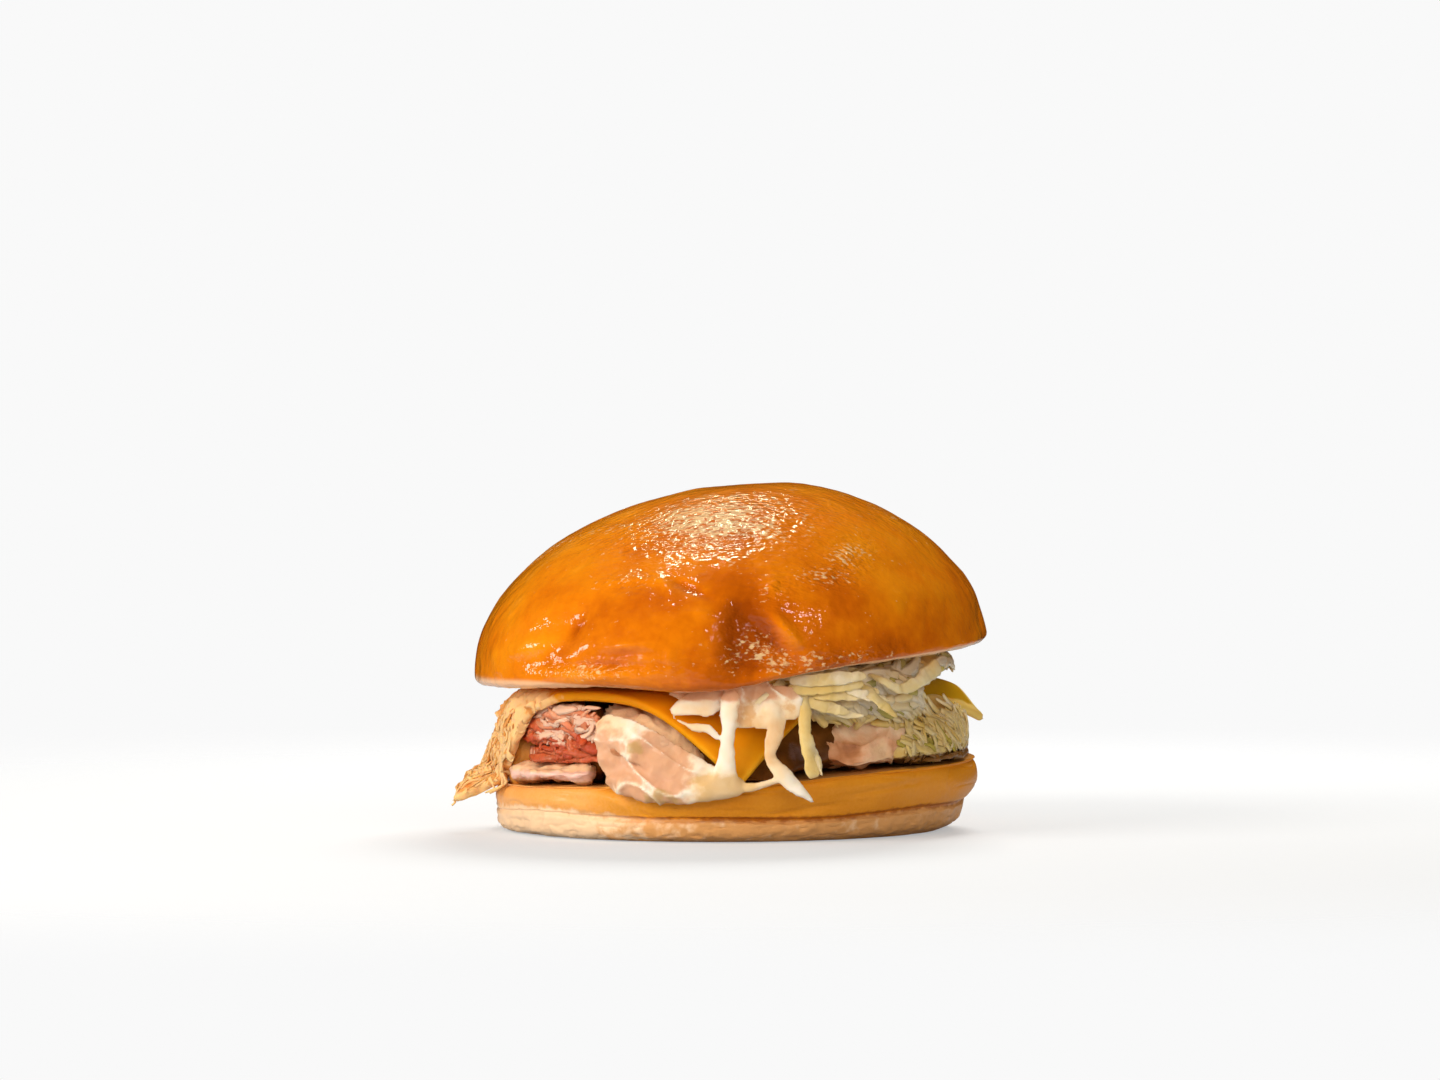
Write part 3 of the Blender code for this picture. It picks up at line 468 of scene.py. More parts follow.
def draped(distance, bearing):
    """Where flat points of the slice go, by bearing: distance out, drop and slope.

    Past the fold the slope grows to the steepest and eases at the tip. The path is the sum of
    small straight steps.
    """
    fold, steepest, tip, bend, flare = (corner_blend(bearing, position) for position in range(5))
    beyond = np.maximum(distance - fold, 0.0)
    step = beyond / DRAPE_STEPS
    out = np.minimum(distance, fold)
    drop, slope = np.zeros_like(out), np.zeros_like(out)
    for number in range(DRAPE_STEPS):
        along = (number + 0.5) * step
        degrees = steepest * smooth(along / bend)
        slope = np.radians(degrees + (tip - steepest) * smooth((along - flare) / FLARE_LENGTH))
        out = out + np.cos(slope) * step
        drop = drop + np.sin(slope) * step
    return out, drop, np.where(beyond > 0, slope, 0.0)


def cheese_level(distance):
    """Height of the slice's middle where it lies: a low dome."""
    return CHEESE_LEVEL + CHEESE_DOME * np.maximum(0.0, 1.0 - (distance / CHEESE_DOME_RADIUS) ** 2)


def cheese_map():
    """Heights of the slice's middle surface on an even square of points round its centre.

    The drape is followed at many flat distances, and each height is read between the two whose
    draped places lie on either side of the point. It is done once, because it is slow.
    """
    ticks = np.arange(-MAP_REACH, MAP_REACH + MAP_STEP, MAP_STEP)
    away_x, away_y = np.meshgrid(ticks, ticks, indexing="ij")
    reach, turned = np.hypot(away_x, away_y), np.arctan2(away_y, away_x)
    tries = np.linspace(DRAPE_NEAREST, DRAPE_FURTHEST, DRAPE_TRIES)[:, None, None]
    out, drop, _ = draped(tries + 0 * reach, turned + 0 * tries)
    high = np.clip((out < reach).sum(axis=0), 1, DRAPE_TRIES - 1)
    near, far = ([np.take_along_axis(v, at[None], 0)[0] for v in (out, drop)] for at in (high - 1, high))
    share = np.clip((reach - near[0]) / (far[0] - near[0]), 0.0, 1.0)
    return cheese_level(reach) - (near[1] + (far[1] - near[1]) * share)


def over_grid(grid, i, j):
    """Values of a grid at broken places, blended, and carried on straight past its borders."""
    low_i, low_j = (np.clip(np.floor(place).astype(int), 0, len(grid) - 2) for place in (i, j))
    s, t = i - low_i, j - low_j
    if grid.ndim == 3:
        s, t = s[..., None], t[..., None]
    near = grid[low_i, low_j] * (1 - s) + grid[low_i + 1, low_j] * s
    far = grid[low_i, low_j + 1] * (1 - s) + grid[low_i + 1, low_j + 1] * s
    return near * (1 - t) + far * t


CHEESE_MAP = cheese_map()


def cheese_height(x, y):
    """Height of the slice's middle surface over a point, from the map."""
    last = len(CHEESE_MAP) - 1.001
    across = np.clip((x - CHEESE_X + MAP_REACH) / MAP_STEP, 0.0, last)
    return over_grid(CHEESE_MAP, across, np.clip((y - CHEESE_Y + MAP_REACH) / MAP_STEP, 0.0, last))


def below_cheese(x, y):
    """The highest a filling may reach: under the slice, less its slanting thickness."""
    step = 0.5
    middle = cheese_height(x, y)
    reach = np.hypot(x - CHEESE_X, y - CHEESE_Y) + 1e-6
    further = step / reach
    fall = middle - cheese_height(x + (x - CHEESE_X) * further, y + (y - CHEESE_Y) * further)
    return middle - (CHEESE_THICKNESS / 2 + 2 * GAP) * np.hypot(1.0, fall / step)

# %% [markdown]
# ## The heel
#
# The lower half of the bun is a flat disc of bread. Its upper part kept the golden crust of the
# bun's side, its lower part sat on the tray, pale, dry and full of pores, and between them runs a
# crease. It could be a turned profile, but a baked bun is never quite round, so each ring wanders
# a little, and the relief grows rough only on the pale part.

# %% The heel
HEEL_LOW_RADIUS = 49.0
HEEL_HIGH_RADIUS = 51.0
HEEL_LOW_SHIFT = -1.2
HEEL_DEPTH_SHARE = 0.955
HEEL_OUTLINE = np.array((
    (0.0, 0.0), (0.5, 0.0), (0.86, 0.0), (0.955, 0.06), (0.988, 0.17),
    (0.99, 0.33), (0.975, 0.42), (0.987, 0.48), (1.0, 0.66), (0.998, 0.84),
    (0.98, 0.95), (0.945, 1.0), (0.55, 1.0), (0.0, 1.0),
))
CREASE_LEVEL = 0.42
CREASE_WANDER = 0.7
HEEL_SIDES = 440
# Rings between each pair of outline points: few on the flat faces, many on the side.
HEEL_RINGS = (3, 6, 14, 14, 14, 14, 12, 12, 14, 14, 14, 16, 4)
# Folds of the golden crust: middle x and z, half length, half width, turn in degrees and height.
HEEL_FOLDS = (
    (-17.5, 5.5, 4.5, 0.7, -38, -0.7), (-22, 8, 6, 1.2, -20, 0.5), (-7, 8.2, 9, 0.8, 3, -0.35),
    (14, 6.6, 8, 0.7, 8, -0.4), (31, 10.6, 9, 0.7, 9, -0.3), (-36, 9, 6, 0.8, -6, -0.35),
)


def spread_of(counts):
    """Places counted in knots, with this many steps from each knot to the next."""
    starts = [start + np.arange(count) / count for start, count in enumerate(counts)]
    return np.append(np.concatenate(starts), len(counts) - 1e-6)


def turned_about_z(points, degrees):
    """The points turned round the upright axis."""
    turn = math.radians(degrees)
    x, y, z = np.moveaxis(points, -1, 0)
    return stacked(x * math.cos(turn) - y * math.sin(turn), x * math.sin(turn) + y * math.cos(turn), z)


def marks_at(points, strokes):
    """The sum of long bells over the front of the points, each turned in the x-z plane."""
    x, y, z = np.moveaxis(points, -1, 0)
    total = 0.0 * x
    for mark_x, mark_z, half_length, half_width, degrees, height in strokes:
        turn = math.radians(degrees)
        along = (x - mark_x) * math.cos(turn) + (z - mark_z) * math.sin(turn)
        across = (z - mark_z) * math.cos(turn) - (x - mark_x) * math.sin(turn)
        total = total + height * bump(along / half_length) * bump(across / half_width)
    return total * smooth(-y / 25.0)


def heel_surface():
    """The heel's rings: outline times radius, squeezed in depth, with crease, pores and dents."""
    share, level = spline(HEEL_OUTLINE, spread_of(HEEL_RINGS)).T
    share, level = np.clip(share, 0.0, None)[:, None], np.clip(level, 0.0, 1.0)[:, None]
    turned = turns(HEEL_SIDES)
    left = 0.014 * smooth(-np.cos(turned) / 0.4 - 1.1) * bump((level - CREASE_LEVEL) / 0.1)
    right = 0.03 * smooth((np.cos(turned) - 0.75) / 0.2) * bump((level - 0.6) / 0.26)
    share = share + (left + right) * (share > 0.9)
    radius = HEEL_LOW_RADIUS + (HEEL_HIGH_RADIUS - HEEL_LOW_RADIUS) * level
    out = radius * share * (1.0 + 0.008 * np.sin(3 * turned + 1.0))
    x = HEEL_LOW_SHIFT + (AXIS_X - HEEL_LOW_SHIFT) * level + out * np.cos(turned)
    y = out * np.sin(turned) * HEEL_DEPTH_SHARE
    wander = CREASE_WANDER * (np.sin(2 * turned + 0.6) + 0.4 * np.sin(7 * turned))
    rows = stacked(x, y, heel_top(x, y) * level + wander * bump((level - CREASE_LEVEL) / 0.15))
    side = smooth((share - 0.8) / 0.12)
    blend = 0.06 + 0.34 * (1.0 - smooth((x + 40.0) / 30.0))
    pale = 1.0 - smooth((level - CREASE_LEVEL + 0.03) / blend + 0.3 * (blend - 0.06))
    pale = side * pale * smooth(level / 0.06)
    pores = 0.3 * rough(rows, 3.2, 51) - 0.25 * ridges(rows, 2.2, 53)
    swell = 0.4 * lumps(rows, 16.0, 55) - 0.2 * ridges(rows * (0.35, 0.35, 1.0), 3.0, 57)
    swell = swell + marks_at(rows, HEEL_FOLDS)
    swell = swell + 0.8 * marks_at(turned_about_z(rows, 140.0), HEEL_FOLDS)
    golden = side * smooth((level - CREASE_LEVEL) / 0.1)
    deep = side * bump((level - CREASE_LEVEL) / 0.035) * (0.6 + 0.4 * lumps(rows, 8.0, 59))
    deep = -0.5 * deep * smooth((x + 36.0) / 26.0)
    crumb = 0.12 * rough(rows, 2.0, 61) * smooth((level - 0.98) / 0.02)
    rows = raised(rows, pores * pale + swell * golden + deep + crumb)
    rows[..., 2] = np.maximum(rows[..., 2], 0.0)
    return rows, pale, level


# Baked bread crust: dry and matt where it is pale, a satin skin where it browned.
heel_crust = food(
    "heel_crust", ((0.15, "#dd8a0a"), (0.5, "#ea9e28"), (0.85, "#f6b468")), 9.0, 0.7, 0.12,
    0.45, 0.25, {"Coat Weight": 0.25, "Coat Roughness": 0.2},
    (("pale", "#dca468", 2.5, 0.95), ("palest", "#f8d8b4", 2.0, 0.95),
     ("darker_crease", "#a05408", 2.0, 0.8), ("cut", "#dba05c", 3.0, 0.9)),
)
rows, pale, level = heel_surface()
# Painted light: the tone and the palest layer grow towards the left, where the light falls and
# the crust shines most.
left = 1.0 - smooth((rows[..., 0] + 45.0) / 50.0)
add_skin("bun_heel_baked", "bun_heel", heel_crust, rows, {
    "tone": 0.3 + 0.5 * left,
    "pale": pale,
    "palest": pale * (0.12 + 0.85 * left + 0.25 * rough(rows, 5.0, 63)),
    # A darker colour runs along the crease under the golden crust.
    "darker_crease": 0.75 * bump((level - CREASE_LEVEL - 0.02) / 0.05) * (1.0 - left),
    "cut": smooth((level - 0.985) / 0.015),
})

# %% [markdown]
# ## The crown
#
# The upper half of the bun is a dome of soft bread, brushed with egg before baking, so its crust
# shines. Handling and cooling left marks: a full lobe and a rolled lip at the lower front, a
# valley beside it, creases, and small ridges that catch the light. The dome is half an ellipsoid.
# Each mark is a long bell with a place, a length, a width, a turn and a height, which says in one
# line what a sculptor would do with one stroke.

# %% The crown's form
CROWN_RADIUS = 54.4
CROWN_HEIGHT = 37.0
CROWN_APEX_SHIFT = 3.5
CROWN_EDGE = 1.6
CROWN_CLIMBS = 12
CROWN_FLAT_SHARES = (0.0, 0.45, 0.8, 0.9)
CROWN_ROLL = 0.9
CROWN_SUNKEN = 1.4
# Relief moves the crust away from here.
CROWN_CENTRE = np.array([2.0, 0.0, 42.0])
LIP_DROP = 2.8
LIP_CENTRE = -5.0
LIP_HALF_WIDTH = 18.0
CROWN_SIDES = 420
CROWN_RINGS = (3, 5, 4, 10, 10, 10) + (16,) * 6 + (13,) * 4 + (9,)
# Strokes: middle x and z, half length, half width, turn in degrees and height.
BIG_MARKS = (
    (-15, 41, 13, 9, 0, 2), (-35, 43, 9, 3.5, 37, -2), (2.5, 42, 4.5, 9, 0, -2.2),
    (9, 42, 9.2, 2.9, -45, -1.6),
)
FINE_MARKS = (
    (-39.5, 41, 6, 2, 18, 0.8), (-32.6, 44.6, 2.8, 0.8, 62, -0.6), (-20.5, 41.8, 5, 0.8, 6, 0.3),
    (-21, 39.7, 6.5, 0.9, 4, -0.35), (-26, 35.3, 10, 1.4, 2, 0.5), (-26, 37.6, 11, 0.8, 2, -0.4),
    (-12, 39.4, 2.4, 0.9, 80, 0.35), (-8.6, 53.4, 3.8, 0.8, -25, -0.7),
    (-13.6, 54.4, 2.8, 1.1, -50, 0.5), (-20.5, 54.8, 4.6, 0.9, 5, 0.3),
    (-5.3, 48.2, 2.2, 0.9, -10, 0.35), (8.8, 54, 2, 1.3, 80, 0.35), (11.4, 45, 4.4, 1.3, -48, 0.9),
    (8, 43.4, 7, 0.8, -43, -0.7), (6, 38.6, 6.5, 0.6, -8, -0.35), (9, 36.8, 7, 0.6, -5, -0.3),
    (4, 41, 4, 0.6, -20, -0.3), (41, 47, 4.5, 0.6, 85, -0.14), (45, 46.5, 4, 0.5, 88, -0.14),
    (37, 49, 3.5, 0.6, 80, -0.1), (-48.5, 38.5, 2.6, 1.2, 70, 0.3),
)
# Where the glaze dried into fine wrinkles that break up the gloss, and where pale glints are painted in,
# with a share as height.
GLITTER_MARKS = (
    (-4, 66.5, 20, 6.5, 3, 1.4), (26, 60, 5, 3.5, 0, 1), (20, 55.5, 8, 2.5, 0, 0.8),
    (-20, 54.5, 6, 2, 5, 0.7), (6, 41, 9, 5, -10, 0.8), (-26, 36.5, 11, 2, 3, 0.9),
    (22, 38.5, 14, 2, 6, 0.8), (8, 53, 4, 3, 0, 0.6),
)
# Where the crust browned more or less, and some painted shade, with a change of tone as height.
# (30, 39.5) darken the crust where shade falls.
# Painted shade: the marks in the valley (3, 43), the left dent (-33, 43) and low at the right
BROWNED_AND_SHADED_MARKS = (
    (3, 43, 5, 8, 0, -0.7), (6, 55.5, 7, 4, 0, -0.02), (-13, 38.5, 11, 4, 0, 0.02),
    (30, 39.5, 16, 5, 5, -0.3), (-3, 66, 19, 5.5, 3, -0.34), (-33, 43, 6, 3, 37, -0.22),
    (-26, 50, 6, 3, 10, -0.12), (36, 54, 12, 6, -50, 0.14), (10, 49, 4, 5, 0, -0.12),
    (-44, 44, 5, 9, 20, 0.04), (24, 49, 5, 5, 0, -0.06),
)
# The unseen sides have the same kinds of marks: the front's, turned round the bun and weaker.
MARK_TURNS = ((0.0, 1.0, 1.0), (124.0, 0.45, 0.7), (238.0, 0.4, 0.7))


def lip_droop(turned):
    """How far the crown's rim hangs below its cut face: most at the front, left of centre."""
    x, y = CROWN_RADIUS * np.cos(turned), CROWN_RADIUS * np.sin(turned)
    front = bump((x - LIP_CENTRE) / LIP_HALF_WIDTH) * smooth(-y / 30.0)
    back = 0.5 * bump((x + 2.4 * LIP_CENTRE) / LIP_HALF_WIDTH) * smooth(y / 30.0)
    return LIP_DROP * (front + back + 0.3 * smooth((-x - 20.0) / 30.0))


def crown_profile(turned):
    """Rings of (distance out, height over the cut face): cut face, rounded lip, domed crust."""
    droop = lip_droop(turned)
    rings = [
        (CROWN_RADIUS * share, -0.3 * droop * smooth((share - 0.8) / 0.1))
        for share in CROWN_FLAT_SHARES
    ]
    rings.append((CROWN_RADIUS - 1.3 * CROWN_EDGE, -droop))
    rings.append((CROWN_RADIUS - 0.25 * CROWN_EDGE, -droop + 0.35 * CROWN_EDGE))
    for climb in np.linspace(0.04, math.pi / 2, CROWN_CLIMBS):
        hang = droop * np.maximum(0.0, 1.0 - climb / 0.45) ** 2
        up = CROWN_HEIGHT * math.sin(climb) - hang + 0.5 * CROWN_EDGE * math.cos(climb)
        rings.append((CROWN_RADIUS * math.cos(climb), up))
    return np.array([np.stack(np.broadcast_arrays(out, up), axis=-1) for out, up in rings])


def crown_surface():
    """The crown's rings and marks: its profile carried round, tipped, with relief outwards."""
    turned, spread = turns(CROWN_SIDES), spread_of(CROWN_RINGS)
    out, up = np.moveaxis(spline(crown_profile(turned), spread), 2, 0)
    out = np.maximum(out, 0.0)
    x = out * np.cos(turned) + CROWN_APEX_SHIFT * (np.maximum(up, 0.0) / CROWN_HEIGHT) ** 2
    y = out * np.sin(turned)
    tipped_x = x * math.cos(CROWN_TILT) - up * math.sin(CROWN_TILT)
    tipped_z = x * math.sin(CROWN_TILT) + up * math.cos(CROWN_TILT)
    rows = stacked(tipped_x, y, tipped_z + CROWN_CUT_HEIGHT + CROWN_NOD * y)
    away = unit(rows - CROWN_CENTRE)
    on_crust = smooth((spread - 4.0) / 2.0)[:, None]
    relief = CROWN_ROLL * lumps(rows, 22.0, 3)
    creased, glitter, browned = (0.0 * relief for _ in range(3))
    for degrees, big, fine in MARK_TURNS:
        seen = turned_about_z(rows, degrees)
        creased = creased + 1.5 * fine * marks_at(seen, FINE_MARKS)
        browned = browned + fine * marks_at(seen, BROWNED_AND_SHADED_MARKS)
        glitter = glitter + marks_at(seen, GLITTER_MARKS)
        relief = relief + big * marks_at(seen, BIG_MARKS)
    x, y, z = np.moveaxis(rows, -1, 0)
    puckered = bump((z - 38.0) / 5.0) * smooth(-y / 30.0) * bump((x - 6.0) / 9.0)
    relief = relief + creased - 0.2 * puckered * ridges(rows * (0.5, 0.5, 1.0), 2.0, 71)
    sunken = bump((x - 40.0) / 22.0) * smooth((z - 50.0) / 9.0)
    relief = relief + 0.16 * rough(rows, 7.0, 73) - CROWN_SUNKEN * sunken
    flat = (1.0 - on_crust) * smooth(spread - 0.5)[:, None]
    rows = rows + away * (relief * on_crust)[..., None]
    rows[..., 2] -= 0.15 * rough(rows, 2.5, 75) * flat
    height = (rows[..., 2] - CROWN_CUT_HEIGHT) / CROWN_HEIGHT
    right = smooth((rows[..., 0] - 5.0) / 45.0)
    left = smooth((-12.0 - rows[..., 0]) / 34.0)
    # Painted light and shade in the tone: lighter at the left, where the key light falls, darker
    # in the fine creases and lighter on their ridges. It is also lighter towards the top.
    tone = 0.36 + 0.3 * smooth((height - 0.3) / 0.6) + 0.24 * creased + browned
    tone = tone + 0.16 * puckered + 0.16 * right + 0.28 * left
    # Crumb shows on the cut face, and at both sides up to the rim's outer edge.
    cut = spread[:, None] - 4.2 - np.maximum(0.9 * right, 1.5 * left)
    marks = {"tone": tone, "cut": 1.0 - smooth(3.0 * cut), "glitter": np.clip(glitter, 0.0, 1.4)}
    return rows, marks


# %% The crown's crust
def egg_washed_crust():
    """The crown's finish: browned blotches and freckles, pale flecks painted in as glints, and wrinkles.
    """
    made, tree, shader = new_finish("golden_crust", {
        "Roughness": 0.42, "Specular IOR Level": 0.04, "Coat Weight": 0.9,
        "Coat Roughness": 0.07, "Coat IOR": 1.5,
    })
    place = node(tree, "TexCoord", {}, "Object")
    stretched = node(tree, "Mapping", {"Vector": place, "Scale": (0.55, 1.0, 1.0)})
    tone, cut, glitter = (
        node(tree, "Attribute", {}, "Fac", attribute_name=mark) for mark in ("tone", "cut", "glitter")
    )
    blotches, freckles, glint_patches, painted_glints, slow_wrinkles, wrinkles = (
        node(tree, "TexNoise", {"Vector": vector, "Scale": 1 / (size * MM), "Detail": detail})
        for vector, size, detail in (
            (place, 12.0, 3.0), (place, 2.2, 4.0), (place, 5.0, 2.0), (stretched, 0.75, 3.0),
            (place, 5.0, 3.0), (stretched, 1.0, 1.5),
        )
    )
    tint = node(tree, "Math", {0: blotches, 1: 0.8, 2: tone}, operation="MULTIPLY_ADD")
    tint = node(tree, "Math", {0: freckles, 1: 0.3, 2: tint}, operation="MULTIPLY_ADD")
    tint = node(tree, "Math", {0: tint, 1: 0.55}, operation="SUBTRACT")
    stops = (0.0, "#9a4402"), (0.3, "#cc6603"), (0.55, "#e58006"), (0.8, "#ee920c"), (1.0, "#f4a030")
    colour = node(tree, "ValToRGB", {"Fac": tint}, stops=stops)
    colour = {0: cut, 6: colour, 7: linear("#f2be90")}
    colour = node(tree, "Mix", colour, 2, data_type="RGBA")
    # Painted glints: fine pale flecks are let through where slow noise and the glitter mark are high.
    painted_glints = node(tree, "Math", {0: glint_patches, 1: 0.5, 2: painted_glints}, operation="MULTIPLY_ADD")
    painted_glints = node(tree, "Math", {0: glitter, 1: 0.26, 2: painted_glints}, operation="MULTIPLY_ADD")
    painted_glints = {"Value": painted_glints, "From Min": 0.99, "From Max": 1.13, "To Max": 0.7}
    colour = {0: node(tree, "MapRange", painted_glints), 6: colour, 7: linear("#f6dca8")}
    colour = node(tree, "Mix", colour, 2, data_type="RGBA")
    tree.links.new(colour, shader.inputs["Base Color"])
    strength = node(tree, "MapRange", {"Value": glitter, "To Min": 0.08, "To Max": 1.0})
    raising = node(tree, "Bump", {"Height": slow_wrinkles, "Distance": 0.5 * MM})
    raising = {"Height": wrinkles, "Distance": 0.9 * MM, "Strength": strength, "Normal": raising}
    raising = node(tree, "Bump", raising)
    tree.links.new(raising, shader.inputs["Normal"])
    tree.links.new(raising, shader.inputs["Coat Normal"])
    return made


# Egg-washed brioche crust: deep golden brown, and glossy as varnish over fine wrinkles.
rows, marks = crown_surface()
add_skin("bun_crown_baked", "bun_crown", egg_washed_crust(), rows, marks)

# %% [markdown]
# ## The cheese
#
# One square slice of processed cheese, its corners to the left, front, right and back. It softened
# over the warm chicken and hangs down at its corners. A cloth simulation could drape it, but the
# drape is known, so a grid is bent by it. The two faces share their border points and swell from
# there by a quarter round, so the edge is soft and shut. The left corner fried: it is ragged.

# %% The cheese
CHEESE_CELLS = 200
# The slice is fried from this far towards its left corner, and fully this much further on.
CRISP_START = 31.0
CRISP_BLEND = 9.0
# The fried corner twists: its back half swings out by this share of its width, up to a limit,
# its front half swings in near the tip, and it tucks in where it turns down.
CORNER_TWIST = (0.2, 15.0)
CORNER_SWING = 3.2
SHOULDER_TUCK = 2.0
# How far the border hangs down between the front-right side and the right corner.
BORDER_HANG = 3.4


def crowded(count):
    """Places from -1 to 1 that crowd together towards both ends, by a sine."""
    return np.sin(np.linspace(-math.pi / 2, math.pi / 2, count + 1))


def cheese_surface():
    """Both faces of the draped slice, how crisp each point is and how near the slice's edge."""
    even = np.linspace(-1.0, 1.0, CHEESE_CELLS + 1)
    side = (0.8 * even + 0.2 * crowded(CHEESE_CELLS)) * CHEESE_SIDE / 2
    along, across = np.meshgrid(side, side, indexing="ij")
    flat = turned_about_z(stacked(along, across, 0.0), CHEESE_BEARING - 45.0)
    edge = CHEESE_SIDE / 2 - np.maximum(abs(along), abs(across))
    # How far each point lies towards the left corner's tip, and from that corner's front side.
    left = math.radians(180.0 + CHEESE_BEARING)
    towards = flat[..., 0] * math.cos(left) + flat[..., 1] * math.sin(left)
    crisp = smooth((towards - CRISP_START) / CRISP_BLEND)
    half_width = CHEESE_SIDE / math.sqrt(2) - towards
    sideways = flat[..., 0] * math.sin(left) - flat[..., 1] * math.cos(left)
    from_front = np.maximum(sideways + half_width, 0.0)
    ragged = 1.8 * crisp * (1.0 - smooth(edge / 5.0))
    x = flat[..., 0] + ragged * rough(flat, 3.4, 81)
    y = flat[..., 1] + ragged * rough(flat, 3.4, 85)
    distance, turned = np.hypot(x, y), np.arctan2(y, x)
    out, drop, slope = draped(distance, turned)
    wave = 0.35 * np.sin(5 * turned) * smooth((distance - 30.0) / 20.0) + 0.25 * lumps(flat, 17.0, 87)
    share, limit = CORNER_TWIST
    swing = CORNER_SWING * smooth((2 * half_width - from_front) / 9.0)
    twist = swing * bump((towards - 56.0) / 6.0) - share * limit * smooth(from_front / limit)
    twist = twist + SHOULDER_TUCK * bump((towards - 47.0) / 9.0)
    hang = smooth(1.0 - (CHEESE_SIDE / 2 - along) / 8.0) * smooth((across - 4.0) / 12.0)
    middle = stacked(
        CHEESE_X + out * np.cos(turned) + twist * crisp, CHEESE_Y + out * np.sin(turned),
        cheese_level(out) - drop + wave - BORDER_HANG * hang,
    )
    upward = stacked(np.sin(slope) * np.cos(turned), np.sin(slope) * np.sin(turned), np.cos(slope))
    fibres = 0.9 * (ridges(flat * (0.4, 1.0, 1.0), 2.6, 89) - 0.5) + 0.7 * rough(flat, 4.0, 91)
    half = CHEESE_THICKNESS / 2
    inside = np.clip(edge / half, 0.0, 1.0)
    swell = half * np.sqrt(1.0 - (1.0 - inside) ** 2)
    top = middle + upward * (swell + crisp * fibres * inside)[..., None]
    bottom = middle - upward * (swell - 0.6 * crisp * fibres * inside)[..., None]
    return top, bottom, crisp, edge


def add_sheet(name, solid, finish, top, bottom, marks):
    """A sheet whose two faces share their border points."""
    rows, columns = top.shape[:2]
    inside = np.zeros((rows, columns), bool)
    inside[1:-1, 1:-1] = True
    lower = np.arange(rows * columns).reshape(rows, columns)
    lower[inside] = rows * columns + np.arange(inside.sum())
    upper_quads = grid_quads(rows, columns, False)[:, ::-1]
    quads = np.concatenate([upper_quads, lower.ravel()[upper_quads[:, ::-1]]])
    points = np.concatenate([top.reshape(-1, 3), bottom[inside]])
    spread = {mark: np.concatenate([v.ravel(), v[inside]]) for mark, v in marks.items()}
    return add_piece(name, solid, finish, points, quads, np.empty((0, 3), int), spread)


# Processed cheese: even, smooth and slightly waxy, with a little light passing through it.
cheese_skin = food(
    "processed_cheese",
    ((0.0, "#dc7a04"), (0.35, "#e78c0a"), (0.7, "#eda014"), (1.0, "#f4b428")),
    20.0, 1.5, 0.02, 0.32, 0.08, see_through(0.2, (4.0, 2.0, 0.5), 0.6),
    (("crisp", "#fcd29a", 2.0, 0.9), ("browned", "#dc8c3c", 1.4, 0.8),
     ("shaded", "#b09014", 6.0, 0.85), ("lit", "#e8d078", 3.0, 0.85)),
)
cheese_top, cheese_bottom, crisp, edge = cheese_surface()
# Painted shade and light: the slice is darker high up, where the crown's shade falls, and paler
# lit layer a lit rim along its edge there.
# low down and along its edges; the shaded layer paints olive shade on the right corner, and the
low = smooth((30.0 - cheese_top[..., 2]) / 14.0)
right = smooth((cheese_top[..., 0] - 26.0) / 14.0)
lit = right * (1.0 - smooth((edge - 1.2) / 1.6))
add_sheet("cheese_slice_melted", "cheese_slice", cheese_skin, cheese_top, cheese_bottom, {
    "tone": 0.25 + 0.4 * low + 0.3 * (1.0 - smooth(edge / 2.0)),
    "crisp": crisp,
    "lit": 0.9 * lit,
    "browned": 0.75 * crisp * smooth(0.45 + 1.3 * rough(cheese_top * (1.0, 1.0, 0.4), 4.0, 93)),
    "shaded": 1.2 * right * (1.0 - 0.85 * lit),
})

# %% [markdown]
# ## Fibres of the fried corner
#
# Where the corner fried, its skin tore into curls and threads that stand off it and fringe its
# outer edge. Hair particles would do it, but an export drops them. So each thread is a small
# ribbon: a walk over the cheese's own grid gives its path, and past the edge it runs straight on.

# %% Fibres of the fried corner
# A ribbon's cross-sections, in half widths and half thicknesses: flat, with soft edges.
SOFT_SECTION = np.array([
    (-1.0, 0.0), (-0.75, -0.85), (0.0, -1.0), (0.75, -0.85), (1.0, 0.0), (0.75, 0.85), (0.0, 1.0),
    (-0.75, 0.85),
])
FLAT_SECTION = np.array([(-1.0, 0.0), (-0.4, -1.0), (0.5, -0.9), (1.0, 0.1), (0.4, 1.0), (-0.5, 0.9)])
AXIS = np.array([AXIS_X, 0.0, 0.0])
CRISP_FIBRES = 340
CRISP_SEED = 15
CRISP_STATIONS = 8
# Threads start up to this many grid cells from the corner, and mostly head towards it.
CRISP_CELLS = 52.0
CRISP_HEADING = math.radians(225.0)


def ribbons(paths, widths, thicknesses, section):
    """Rings of many ribbons at once: shape (ribbons, stations, corners, 3).

    Each ribbon's section stands square to its path and faces away from the burger's axis.
    """
    along = unit(np.gradient(paths, axis=1))
    away = paths * np.array([1.0, 1.0, 0.0]) - AXIS
    away = away + np.array([0.0, 0.0, 0.4]) * np.linalg.norm(away, axis=-1, keepdims=True)
    across = unit(np.cross(along, away))
    wide = across[:, :, None] * (widths / 2)[:, :, None, None] * section[:, 0, None]
    deep = np.cross(across, along)[:, :, None] * (thicknesses / 2)[:, :, None, None]
    return paths[:, :, None] + wide + deep * section[:, 1, None]


